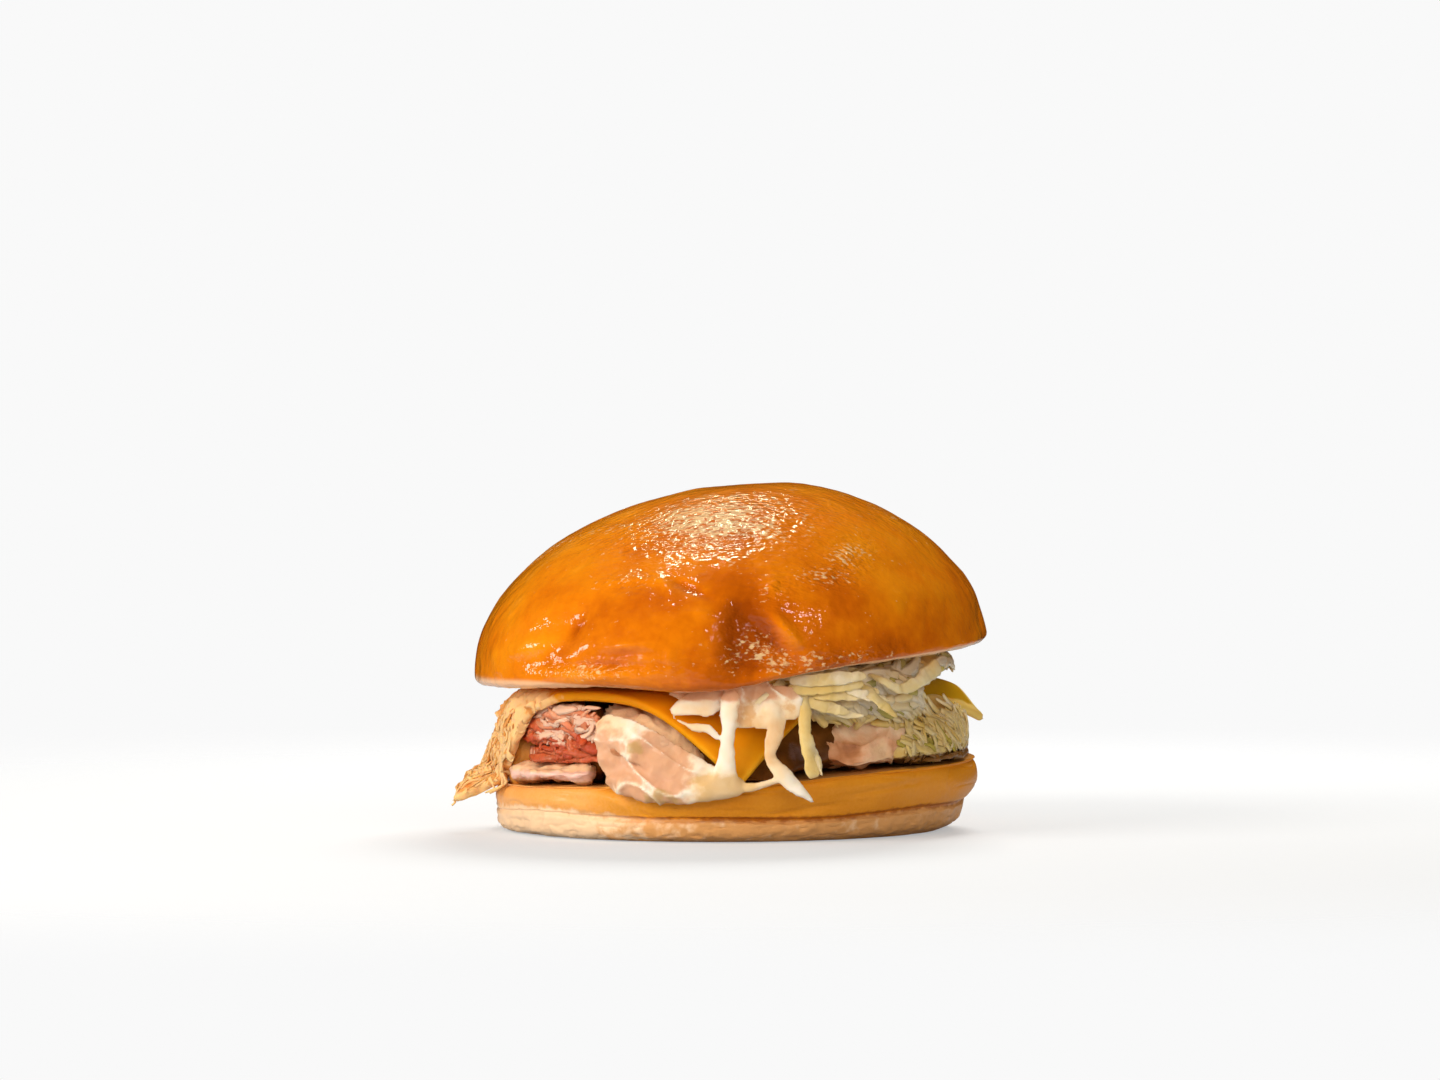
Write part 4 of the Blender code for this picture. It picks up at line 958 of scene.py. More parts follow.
def add_ribbons(name, solid, finish, rings, marks):
    """A piece of many ribbons from `ribbons`, each closed by a fan at both ends."""
    count, stations, corners = rings.shape[:3]
    corner = np.arange(1, corners - 1)
    start = np.stack([0 * corner, corner + 1, corner], axis=-1)
    end = np.stack([0 * corner, corner, corner + 1], axis=-1) + corners * (stations - 1)
    offset = (np.arange(count) * stations * corners)[:, None, None]
    quads = (grid_quads(stations, corners, True) + offset).reshape(-1, 4)
    ends = (np.concatenate([start, end]) + offset).reshape(-1, 3)
    spread = {mark: np.broadcast_to(v, rings.shape[:3]) for mark, v in marks.items()}
    return add_piece(name, solid, finish, rings.reshape(-1, 3), quads, ends, spread)


def crisp_fibres():
    """Rings of the torn threads: walks over the corner, mostly outwards, lifted off its skin."""
    random = np.random.default_rng(CRISP_SEED)
    one = (CRISP_FIBRES, 1)
    start = random.uniform(0.0, 1.0, (CRISP_FIBRES, 2)) ** 0.8 * CRISP_CELLS
    heading = random.normal(CRISP_HEADING, 0.5, one)
    step = np.linspace(-0.5, 0.5, CRISP_STATIONS)[None, :]
    length = random.uniform(5.0, 18.0, one)
    curl = random.normal(0.0, 0.9, one)
    i = np.maximum(start[:, :1] + length * step * np.cos(heading + curl * step), -2.0)
    j = np.maximum(start[:, 1:] + length * step * np.sin(heading + curl * step), -2.0)
    lift = random.uniform(-0.35, 0.3, one) * (1.0 - 3.0 * step**2)
    paths = over_grid(cheese_top, i, j)
    to_j, to_i = over_grid(cheese_top, i, j + 0.5) - paths, over_grid(cheese_top, i + 0.5, j) - paths
    paths = paths - unit(np.cross(to_j, to_i)) * lift[..., None]
    width = random.uniform(0.8, 2.4, one) * (1.05 - (2 * abs(step)) ** 3)
    thickness = random.uniform(0.3, 0.7, one) + 0.0 * step
    return ribbons(paths, width, thickness, FLAT_SECTION), random.random(CRISP_FIBRES)[:, None, None]


rings, tones = crisp_fibres()
add_ribbons("cheese_fried_threads", "cheese_slice", cheese_skin, rings, {
    "tone": 0.2 + 0.6 * tones, "crisp": 0.6 + 0.4 * tones[::-1], "browned": 0.7 * (tones < 0.2),
})

# %% [markdown]
# ## Chicken and the pale slice
#
# Each piece of meat is a rounded lump that fills the space between the heel and the cheese. From
# above it is a rounded polygon, as each side's reach enters in the 8th power, and from the side a
# curve between an ellipse and a box. Random bumps move its side, in the same places as on the
# solid, and fibres, tears and folds are pressed in, so that it looks torn and juicy.

# %% Lumps of filling
THINNEST_FILLING = 1.5
LUMP_ROUNDNESS = (0.45, 0.75)
OUTLINE_POWER = 8
LUMP_BUMP_SIZE = 9.0
SLICE_THICKNESS = 4.4


def outline_radius(centre, turned, sides, rim):
    """Radius of a rounded polygon whose sides are (bearing, distance), inside a round rim."""
    x, y = centre[0] - AXIS_X, centre[1]
    towards = x * np.cos(turned) + y * np.sin(turned)
    total = (np.sqrt(towards**2 + rim**2 - x * x - y * y) - towards) ** -OUTLINE_POWER
    for side_bearing, distance in sides:
        facing = np.maximum(np.cos(turned - math.radians(side_bearing)), 0.0)
        total = total + (facing / distance) ** OUTLINE_POWER
    return total ** (-1 / OUTLINE_POWER)


def lump_surface(centre, sides, rim, low, high, roughness, seed, around=300, levels=130):
    """Rings of a rounded lump between two height functions, over a rounded polygon."""
    turned = turns(around)
    reach = outline_radius(centre, turned, sides, rim)
    out_power, up_power = LUMP_ROUNDNESS
    climb = np.linspace(-math.pi / 2, math.pi / 2, levels)[:, None]
    share = np.maximum(np.cos(climb), 0.0) ** out_power
    height = 0.5 + 0.5 * np.sign(climb) * abs(np.sin(climb)) ** up_power
    where = stacked(reach * np.cos(turned), reach * np.sin(turned), 2 * LUMP_BUMP_SIZE * height)
    out = reach * share * (1.0 + roughness * lumps(where, LUMP_BUMP_SIZE, seed) * share)
    x, y = centre[0] + out * np.cos(turned), centre[1] + out * np.sin(turned)
    bottom, top = low(x, y), high(x, y)
    return stacked(x, y, bottom + np.maximum(top - bottom, THINNEST_FILLING) * height)


def on_heel(x, y):
    """Height of what lies on the heel."""
    return heel_top(x, y) + GAP


def slice_top(x, y):
    """Height of the pale slice's upper side."""
    return on_heel(x, y) + SLICE_THICKNESS


def capped(level, sunk=0.0):
    """A height function: this level, or under the cheese (or sunk into it) where that is lower."""
    return lambda x, y: np.minimum(level, below_cheese(x, y) + sunk)


def fleshed(rows, seed, grain, depth):
    """The rows with meat's relief: slow folds, torn fibres along the depth and small pits."""
    torn = ridges(rows * (1.0, 0.35, 0.8), grain, seed)
    relief = 0.9 * rough(rows, 6.0, seed + 1) + depth * (torn - 0.4) + 0.3 * rough(rows, 1.8, seed + 2)
    from_end = np.linspace(0.0, 8.0, len(rows))
    return raised(rows, relief * (smooth(from_end) * smooth(from_end[::-1]))[:, None]), torn

# %% Chicken and the pale slice
# Poached, sliced chicken breast: pale and even, with a wet sheen.
slice_flesh = food(
    "sliced_chicken", ((0.1, "#d8a070"), (0.5, "#f0c49c"), (0.9, "#f6d8b8")), 6.0, 1.0, 0.12,
    0.3, 0.5, see_through(0.2, (3.0, 1.5, 1.0), 0.5),
    (("lilac_sheen", "#fcd0c8", 2.0, 0.9), ("dark", "#a05c28", 2.0, 0.7)),
)
rows = lump_surface((-34, 0), ((0, 5.4), (180, 15.2)), 50.5, on_heel, slice_top, 0.04, 11)
rows, torn = fleshed(rows, 101, 3.0, 0.3)
height = (rows[..., 2] - on_heel(rows[..., 0], rows[..., 1])) / SLICE_THICKNESS
# Painted light and shade: the slice is paler towards its top, the lilac band at mid height is
# its wet sheen painted in, and the dark layer is painted shade at its foot, on the heel.
add_skin("chicken_slice_cooked", "chicken_slice", slice_flesh, rows, {
    "tone": 0.3 + 0.35 * smooth(height) + 0.2 * rough(rows * (0.3, 1.0, 1.0), 1.5, 105),
    "lilac_sheen": bump((height - 0.42) / 0.25),
    "dark": 1.0 - smooth(height / 0.22),
})

# Roast chicken under sauce: torn fibres, browned in places, with creamy dressing in the folds.
chicken_flesh = food(
    "roast_chicken",
    ((0.0, "#965c38"), (0.3, "#c88a60"), (0.55, "#e4ae88"), (0.8, "#efc4a2"), (1.0, "#f6d8bc")),
    5.0, 0.9, 0.18, 0.32, 0.5, see_through(0.2, (3.0, 1.5, 1.0), 0.5),
    (("sauced", "#ecc8a0", 3.0, 0.85), ("dark", "#5c2a12", 1.5, 0.8)),
)
# Name, centre, sides, rim, top, seed, tone and how much sauce.
CHICKENS = (
    ("chicken_left", (-17, -1), ((0, 12), (180, 11), (90, 47)), 50.6, 29.0, 17, 0.50, 0.45),
    ("chicken_right", (23, -2), ((0, 15.5), (180, 16), (211, 22.5)), 50.4, 25.8, 23, 0.52, 0.35),
)
CHICKEN_FOOT = 12.0
CHICKEN_HEIGHT = 16.0
for name, centre, sides, rim, top, seed, tone, sauced in CHICKENS:
    rows = lump_surface(centre, sides, rim, on_heel, capped(top), 0.10, seed)
    rows, torn = fleshed(rows, seed + 100, 4.5, 0.9)
    level = (rows[..., 2] - CHICKEN_FOOT) / CHICKEN_HEIGHT
    patch = rough(rows, 8.0, seed + 200)
    streak = rough(rows * (1.0, 0.3, 0.5), 2.4, seed + 300)
    # Painted light and shade: the tone grows lighter high up, against the cheese's shade, and the
    # dark layer is painted shade at the foot. It is also darker along the torn grooves.
    add_skin(name + "_roasted", name, chicken_flesh, rows, {
        "tone": tone + 0.2 * (patch + streak - torn) + 0.5 * smooth((level - 0.4) / 0.4),
        "sauced": smooth(sauced + 0.6 * patch - 0.3 * torn),
        "dark": 0.45 * smooth(1.6 * torn - 0.8) + 0.6 * (1.0 - smooth(level / 0.2)),
    })

# %% [markdown]
# ## Juices between the fillings
#
# Real fillings are wet: juice and sauce fill the gaps between them, so no light shows through a
# burger from behind. Three low lumps of dark juices, a little smaller than the fillings, do that.
# Where the gaps show, their dark brown is painted shade.

# %% Juices between the fillings
def soaked_heel(x, y):
    """Height of the juices' underside: they soak into the heel, most at its left shoulder."""
    return on_heel(x, y) - 0.6 - 1.6 * smooth((-40.0 - x) / 5.0)


# The juices' highest level, and how far they sink into the cheese.
JUICES_TOP = 28.4
JUICES_SUNK = 0.4
# Meat juice and gravy, and painted shade: dark brown and glossy wet, it darkens the gaps between the
# fillings.
juice_and_gap_shade = food(
    "juice_and_gap_shade", ((0.1, "#54300e"), (0.5, "#7c4c1a"), (0.8, "#a8702c"), (1.0, "#d89c48")),
    5.0, 1.2, 0.2, 0.3, 0.4, {},
)
# The left lump is painted lighter, as the lit inside of the cheese's fold.
for place, centre, sides, rim, tone in (
    ("between", (0, 0), ((90, 41),), 45.4, 0.3),
    ("left", (-43, 0), ((0, 5), (90, 15), (270, 15)), 49.4, 1.1),
    ("middle", (-28.4, 0), ((0, 2.4), (180, 2.4)), 46.4, 0.5),
):
    top = capped(JUICES_TOP, JUICES_SUNK)
    rows = lump_surface(centre, sides, rim, soaked_heel, top, 0.03, 61, around=200, levels=50)
    rows = raised(rows, 0.5 * rough(rows, 4.0, 65))
    marks = {"tone": tone + 0.3 * rough(rows, 6.0, 67)}
    add_skin("juice_and_gap_shade_" + place, None, juice_and_gap_shade, rows, marks)

# %% [markdown]
# ## The bacon
#
# A rasher of streaky bacon folded in three, so its front shows three curled layers: its section is
# a zigzag with round turns, carried from front to back. Lean and fat run in stripes along a
# rasher, and its edges are frilled and torn, because fat shrinks more than lean when it fries.

# %% The bacon
BACON_LEFT = -41.5
BACON_RIGHT = -30.4
BACON_PITCH = 4.0
BACON_THICKNESS = 2.4
BACON_RIM = 47.6
BACON_BULGE = 1.6
BACON_CRINKLE = (0.5, 0.6)
BACON_LAYERS = 3
BACON_TURN_SHARE = 0.28
BACON_PATH = 40.0
BACON_STATIONS = 250
BACON_LENGTHWISE = 200


def bacon_reach(x):
    """How far the bacon reaches to the front and back at this x: a round rim."""
    return np.sqrt(BACON_RIM**2 - (x - AXIS_X) ** 2)


def bacon_section(share):
    """Middle line of the folded rasher seen from the front: a zigzag with rounded turns."""
    turn = share * BACON_LAYERS
    layer = np.minimum(np.floor(turn), BACON_LAYERS - 1)
    along = turn - layer
    across = np.where(layer % 2 == 0, along, 1.0 - along)
    leaving = smooth((along - 1.0 + BACON_TURN_SHARE) / BACON_TURN_SHARE)
    arriving = 1.0 - smooth(along / BACON_TURN_SHARE)
    rise = layer + 0.5 * leaving * (layer < BACON_LAYERS - 1) - 0.5 * arriving * (layer > 0)
    x = BACON_LEFT + (BACON_RIGHT - BACON_LEFT) * (0.5 - 0.5 * np.cos(math.pi * across))
    return x, rise * BACON_PITCH


def bacon_surface():
    """Both faces of the folded rasher, and the flat rasher's own points."""
    share = np.linspace(0.0, 1.0, BACON_STATIONS)[:, None]
    x, z = bacon_section(share)
    tangent = unit(np.concatenate([np.gradient(x, axis=0), np.gradient(z, axis=0)], axis=1))
    run = 0.85 * np.linspace(-1.0, 1.0, BACON_LENGTHWISE) + 0.15 * crowded(BACON_LENGTHWISE - 1)
    reach = bacon_reach(x)
    flat = stacked(share * BACON_PATH, run * reach, 0.0)
    torn = rough(flat * (1.0, 0.05, 1.0) + (0.0, 24.0, 0.0), 3.0, 111) * abs(run)
    y = run * reach * (1.0 + 0.055 * torn)
    base = slice_top(x, y) + GAP + BACON_THICKNESS / 2
    slow, quick = BACON_CRINKLE
    crinkle = slow * np.sin(3.0 * run) + quick * (1.0 + np.sin(9.0 * run)) + 0.5 * lumps(flat, 5.0, 127)
    leftward = (BACON_RIGHT - x) / (BACON_RIGHT - BACON_LEFT)
    bowed_x = x - BACON_BULGE * leftward * (1.0 - run**2)
    room = below_cheese(bowed_x, y) - base - BACON_THICKNESS / 2
    tallest = (BACON_LAYERS - 1) * BACON_PITCH + slow + 2 * quick
    rise = (z + crinkle * (z > 0.3 * BACON_PITCH)) * np.minimum(1.0, room / tallest)
    middle = stacked(bowed_x, y, base + rise)
    normal = stacked(-tangent[:, 1:], 0 * y, tangent[:, :1])
    edge = np.minimum(reach * (1.0 - abs(run)), np.minimum(share, 1.0 - share) * BACON_PATH)
    half = BACON_THICKNESS / 2
    swell = np.sqrt(1.0 - (1.0 - np.clip(edge / half, 0.0, 1.0)) ** 2)
    relief = 0.5 * rough(middle, 2.6, 113) + 0.35 * lumps(middle, 6.0, 117)
    upper = middle + normal * ((half + relief) * swell)[..., None]
    return upper, middle - normal * ((half - relief) * swell)[..., None], flat


# Fried streaky bacon: red-brown lean and waxy cream fat, wet with its own grease.
streaky_bacon = food(
    "bacon", ((0.0, "#a83214"), (0.3, "#cc5c34"), (0.6, "#e28c66"), (1.0, "#f2bea0")),
    3.0, 0.7, 0.2, 0.28, 0.5, see_through(0.25, (3.0, 1.5, 1.0), 0.6),
    (("fat", "#f6ccb4", 1.2, 0.9), ("charred", "#8c4420", 1.4, 0.7)),
)
upper, lower, flat = bacon_surface()
bands = rough(flat * (1.0, 0.14, 1.0), 3.6, 121)
high = smooth((upper[..., 2] - 18.5) / 7.0)
add_sheet("bacon_rasher_fried", "bacon_rasher", streaky_bacon, upper, lower, {
    "tone": 0.2 + 0.45 * high + 0.35 * rough(upper, 2.4, 123),
    "fat": smooth(0.55 + 1.6 * bands) * (0.75 + 0.3 * rough(upper, 2.0, 125)),
    "charred": smooth(0.2 + 1.2 * rough(upper, 3.0, 129)) * 0.7,
})

# %% [markdown]
# ## Torn bits of the bacon
#
# Seen end on, a fried rasher isn't neat: fibres of lean and flaps of fat hang out of every fold.
# They are short ribbons, laid crosswise over both ends of the folds, in seeded places.

# %% Torn bits of the bacon
BACON_BITS = 150
BITS_SEED = 27
BIT_STATIONS = 10
BITS_TOP = 29.0
BITS_LEFT = -41.0
BITS_RIGHT = -28.6


def bacon_bits():
    """Rings of short ribbons over the front and back ends of the folds, and their random tones."""
    random = np.random.default_rng(BITS_SEED)
    one = (BACON_BITS, 1)
    step = np.linspace(-0.5, 0.5, BIT_STATIONS)[None, :]
    length = random.uniform(3.0, 8.0, one)
    slant = random.normal(0.0, 0.35, one)
    curl = random.normal(0.0, 1.2, one)
    x = random.uniform(BITS_LEFT, BITS_RIGHT, one) + length * step * np.cos(slant + curl * step)
    low = slice_top(x, 0 * x)
    rise = low + (BITS_TOP - low) * random.uniform(0.03, 0.97, one)
    rise = rise + length * step * np.sin(slant + curl * step)
    end = np.where(random.random(one) < 0.6, -1.0, 1.0)
    y = end * (bacon_reach(x) + random.uniform(-1.2, 0.3, one))
    y = y + 0.4 * np.sin(5.0 * step + random.uniform(0.0, 6.3, one))
    width = random.uniform(1.0, 2.8, one) * (1.0 - 0.75 * (2 * abs(step)) ** 2.5)
    rise = np.clip(rise, slice_top(x, y) + 0.5 * width, below_cheese(x, y) - 0.4 * width)
    thickness = random.uniform(0.5, 0.9, one) + 0.0 * step
    paths = stacked(x, y, rise)
    width = width * (1.0 + 0.5 * lumps(paths, 1.5, 141))
    return ribbons(paths, width, thickness, FLAT_SECTION), random.random(BACON_BITS)[:, None, None]


rings, tones = bacon_bits()
# Low bits are the deepest red, and the top ones mostly fat.
height = rings[..., 2]
high = smooth((height - 19.0) / 9.0)
fat = tones - 0.78 + 0.75 * high + 0.45 * bump((height - 21.8) / 1.8)
add_ribbons("bacon_torn_bits", "bacon_rasher", streaky_bacon, rings, {
    "tone": 0.1 + 0.45 * high + 0.3 * tones[::-1],
    "fat": smooth(3.0 * fat),
    "charred": 0.4 * smooth(0.4 + rough(rings, 2.5, 143)) * (tones < 0.2),
})

# %% [markdown]
# ## The slaw
#
# White cabbage cut into shreds, dressed and heaped. Its core is the same three lumps as the
# solid's, a little smaller, with shred-like ridges. Over them go flat ribbons that curl: the few
# shreds that can be told apart in the photo, each with its own path, and hundreds of small ones in
# seeded places. Wet shreds cling, so a table of how far out the cores reach, by bearing and
# height, tells each one where to lie.

# %% The slaw's cores
SLAW_SHRINK = 0.5


def over_cheese(x, y):
    """Height of the slaw's underside: just over the slice, and lower past its front edge."""
    x_away, y_away, _ = np.moveaxis(turned_about_z(
        stacked(x - CHEESE_X, y - CHEESE_Y, 0.0), 45.0 - CHEESE_BEARING), -1, 0)
    beyond = np.maximum(abs(x_away), abs(y_away)) - CHEESE_SIDE / 2
    hanging = smooth(beyond / 4.0) * (1.0 - smooth((x - 33.0) / 5.0))
    return cheese_level(np.hypot(x_away, y_away)) + CHEESE_THICKNESS / 2 + GAP - 4.0 * hanging


def beside_cheese(x, y):
    """Top of the slaw at the right: under the slice, and dipping in front of its edge."""
    return below_cheese(x, y) - 2.6 * smooth((-y - 2.0) / 12.0)


# Painted shade: the slaw is coloured dark brown just over the heel at the right, where shade falls.
def soaked_and_shaded(rows):
    """How dark the slaw is just over the heel at the right: meat juice and painted shade in the gap
    above the heel.
    """
    x, y, z = np.moveaxis(rows, -1, 0)
    return smooth(on_heel(x, y) + 2.6 - z) * smooth((x - 30.0) / 4.0)


# White cabbage under dressing: wet, and pale green to ivory, with light passing through it.
cabbage = food(
    "cabbage", ((0.0, "#bc9434"), (0.35, "#deb866"), (0.7, "#eed494"), (1.0, "#faecc8")),
    6.0, 1.2, 0.10, 0.3, 0.4, see_through(0.35, (4.0, 3.5, 1.5), 0.6),
    (("green", "#a09a34", 2.5, 0.7), ("soaked_and_shaded", "#6c3c0a", 1.5, 0.9)),
)
SLAW_LUMPS = (
    ("slaw_top", (17, 0), ((180, 30),), 45.5,
     over_cheese, lambda x, y: crown_under(x, y) - GAP, 0.05, 31),
    ("slaw_side", (41, 0), ((180, 8.5),), 48.8, on_heel, beside_cheese, 0.06, 37),
    ("slaw_front", (31, -30), ((180, 15), (90, 14), (20, 9.5)), 47.8,
     lambda x, y: 24.8, lambda x, y: over_cheese(x, y) + THINNEST_FILLING, 0.08, 41),
)
slaw_cores = []
for name, *form, seed in SLAW_LUMPS:
    rows = lump_surface(*form, seed, levels=100)
    shredded = ridges(turned_about_z(rows, 20.0) * (0.35, 0.35, 1.0), 3.0, seed + 1)
    rows = raised(rows, 0.9 * shredded - SLAW_SHRINK)
    slaw_cores.append(rows)
    add_skin(name + "_core", "slaw_heap", cabbage, rows, {
        "tone": 0.4 + 0.3 * shredded, "green": 0.3 * rough(rows, 6.0, seed + 2),
        "soaked_and_shaded": soaked_and_shaded(rows),
    })

# %% The slaw's small shreds
SHRED_STATIONS = 10
# Shreds lie at least this far from the axis, and their arcs turn to bearings at this radius.
LEAST_REACH = 43.0
ARC_RADIUS = 46.0
TABLE_TURN = 4.0
TABLE_RISE = 1.5
TABLE_SHAPE = (90, 30)
# Groups of small shreds: count, bearings, heights, lengths, widths, how far they stand off, slant
# and its spread in radians, and the seed.
SHRED_GROUPS = (
    (60, (-72, -34), (32.4, 35.5), (8, 16), (1.6, 3.8), (-0.3, 0.5), 0.15, 0.3, 5),
    (60, (-30, 122), (34.6, 38.0), (8, 15), (1.4, 3.2), (-0.3, 0.5), 0.1, 0.2, 10),
    (170, (-70, -36), (26.5, 33.0), (4, 11), (0.8, 3.0), (-0.1, 0.9), -0.55, 0.35, 6),
    (70, (-44, 100), (17.0, 24.5), (9, 16), (1.6, 3.4), (-0.6, 0.3), -0.7, 0.5, 7),
    (320, (-44, 84), (16.5, 25.0), (4, 9), (0.6, 1.7), (-0.3, 0.7), -0.95, 0.45, 8),
    (60, (-34, 70), (14.6, 17.0), (5, 10), (0.8, 2.0), (0.8, 2.4), -0.1, 0.3, 11),
    (120, (96, 170), (33.0, 37.0), (6, 14), (1.2, 3.0), (-0.3, 0.8), 0.1, 0.4, 9),
)


def table_place(bearing, height):
    """Row and column of the reach table for a bearing in radians and a height."""
    turn = (np.degrees(bearing) % 360 / TABLE_TURN).astype(int)
    return turn, np.clip(height / TABLE_RISE, 0, TABLE_SHAPE[1] - 1).astype(int)


def reach_table(cores):
    """How far from the axis the cores reach, by bearing and height: the furthest point of each."""
    table = np.zeros(TABLE_SHAPE)
    for rows in cores:
        x, y, z = (rows.reshape(-1, 3) - AXIS).T
        np.maximum.at(table, table_place(np.arctan2(y, x), z), np.hypot(x, y))
    return table


def shred_group(table, count, bearings, heights, lengths, widths, offs, slant, spread, seed):
    """Rings of one group of shreds: arcs that cling to the cores, with their own slant and bend."""
    random = np.random.default_rng(seed)
    one = (count, 1)
    turned = np.radians(random.uniform(*bearings, one))
    length = random.uniform(*lengths, one)
    lean = random.normal(slant, spread, one)
    step = np.linspace(-0.5, 0.5, SHRED_STATIONS)[None, :]
    lean = lean + random.normal(0.0, 0.5, one) * step
    rise = random.uniform(*heights, one) + length * step * np.sin(lean)
    around = turned + length * step * np.cos(lean) / ARC_RADIUS
    reach = np.maximum(table[table_place(around, rise)], LEAST_REACH)
    for _ in range(3):
        sides = np.pad(reach, ((0, 0), (1, 1)), mode="edge")
        reach = (sides[:, :-2] + sides[:, 1:-1] + sides[:, 2:]) / 3
    reach = reach + random.uniform(*offs, one) * (1.0 - 2.6 * step**2)
    x, y = AXIS_X + reach * np.cos(around), reach * np.sin(around)
    rise = np.clip(rise, on_heel(x, y) + 0.9, crown_under(x, y) - 1.0)
    width = random.uniform(*widths, one) * (1.0 - 0.6 * (2 * abs(step)) ** 3)
    rings = ribbons(stacked(x, y, rise), width, 0.35 + 0.12 * width, FLAT_SECTION)
    return rings, random.random(count)[:, None, None]


slaw_reach = reach_table(slaw_cores)
rings, tones = zip(*(shred_group(slaw_reach, *group) for group in SHRED_GROUPS))
rings, tones = np.concatenate(rings), np.concatenate(tones)
# Shreds higher than about 25.5 mm are painted paler: painted light against the crown's shade.
add_ribbons("slaw_shreds", "slaw_heap", cabbage, rings, {
    "tone": 0.35 + 0.45 * tones + 0.35 * smooth((rings[..., 2] - 25.5) / 2.0),
    "green": 0.8 * (tones < 0.12), "soaked_and_shaded": soaked_and_shaded(rings),
})

# %% The slaw's front shreds
# The shreds that the photo shows one by one: path, widths along it and thickness.
FRONT_SHREDS = (
    (((12.5, -38, 34.2), (14.6, -45.6, 33.4), (15.3, -49, 28), (16.2, -49.9, 21), (17.6, -50.2, 13.9)),
     (3.2, 3.2, 2.9, 3, 3.9), 1),
    (((15.8, -49.4, 22), (18, -49.6, 18.2), (19, -49.8, 14.4)), (0.8, 1.4, 0.8), 0.7),
    (((12.2, -47.2, 34), (17, -48, 34.2), (22, -47.4, 34.6), (28.4, -45.2, 35)),
     (1.6, 2.8, 3.2, 2.4), 0.35),
    (((12, -47.6, 32.6), (16, -48.2, 32.3), (21, -47.8, 32.6), (27.8, -45.6, 33.2)),
     (2.2, 2.8, 2.4, 2), 0.35),
    (((14.6, -46.6, 31), (19, -47.6, 31.2), (25, -46.6, 30.8), (31, -44, 31.8)),
     (1.4, 2.6, 2.4, 1.6), 0.3),
    (((21, -45.6, 34), (25, -46.4, 32), (29, -45.8, 30.6), (33.4, -44.2, 29.6)),
     (1.4, 2, 2.2, 1), 0.35),
    (((12, -38, 34.2), (9.8, -46, 33), (7, -48.6, 30.4), (4.6, -49, 28.6)), (2.2, 2.2, 1.8, 1.2), 0.9),
    (((29, -38, 35), (32, -40.8, 33.6), (36.2, -37.4, 31.8), (40, -31.8, 33.6), (44, -22, 36.2)),
     (1.4, 2, 2.4, 3.4, 4), 1),
    (((23, -42, 34), (28.4, -45.4, 31.6), (32, -45.6, 28.8), (34.6, -44.8, 26.4)),
     (2, 3, 2.6, 1), 0.35),
    (((14, -45, 32.6), (17, -47.6, 30.4), (21.4, -47.4, 28.4), (25, -46.6, 27.4)),
     (2.6, 3.6, 3, 1), 0.35),
    (((18, -44, 31), (20, -47.2, 29), (24, -46.6, 27.2), (28, -45.6, 26.6)), (1.4, 2.2, 2, 0.8), 0.35),
)


def path_ribbons(pieces, stations, section, frayed):
    """Rings of ribbons along smooth curves through their own points, with uneven widths."""
    spread = np.linspace(0.0, 1.0, stations)
    ends = np.sqrt(np.clip(1.0 - (2 * spread - 1) ** 8, 0.02, 1.0))
    paths, widths, thicknesses = [], [], []
    for number, (points, wide, thick) in enumerate(pieces):
        path = spline(np.array(points, float), spread * (len(points) - 1.0001))
        sway = stacked(lumps(path, 4.0, 131 + number), lumps(path, 4.0, 151 + number), 0.0)
        path = path + frayed * 0.5 * sway
        width = spline(np.array(wide, float)[:, None], spread * (len(wide) - 1.0001))[:, 0]
        paths.append(path)
        widths.append((width + frayed * rough(path, 3.0, 171 + number)) * (0.4 + 0.6 * ends))
        thicknesses.append(thick * ends * (1.0 + 0.25 * lumps(path, 4.0, 191 + number)))
    return ribbons(np.array(paths), np.array(widths), np.array(thicknesses), section)


rings = path_ribbons(FRONT_SHREDS, 60, SOFT_SECTION, 0.5)
rings = rings + 0.22 * stacked(*(rough(rings, 1.3, seed) for seed in (203, 205, 207)))
shades = np.random.default_rng(209).random(len(FRONT_SHREDS))[:, None, None]
tone = 0.6 + 0.35 * shades + 0.15 * rough(rings, 5.0, 201)
add_ribbons("slaw_front_shreds", "slaw_heap", cabbage, rings, {"tone": tone})

# %% [markdown]
# ## The dressing
#
# Thick mayonnaise runs down from the slaw in two drips, joins between them and pools along the
# rim of the heel. Each run is a ribbon with a round section. A thick liquid has no seams, so a
# voxel remesh melts the ribbons into one body, and smoothing gives it the round shoulders that
# surface tension makes.

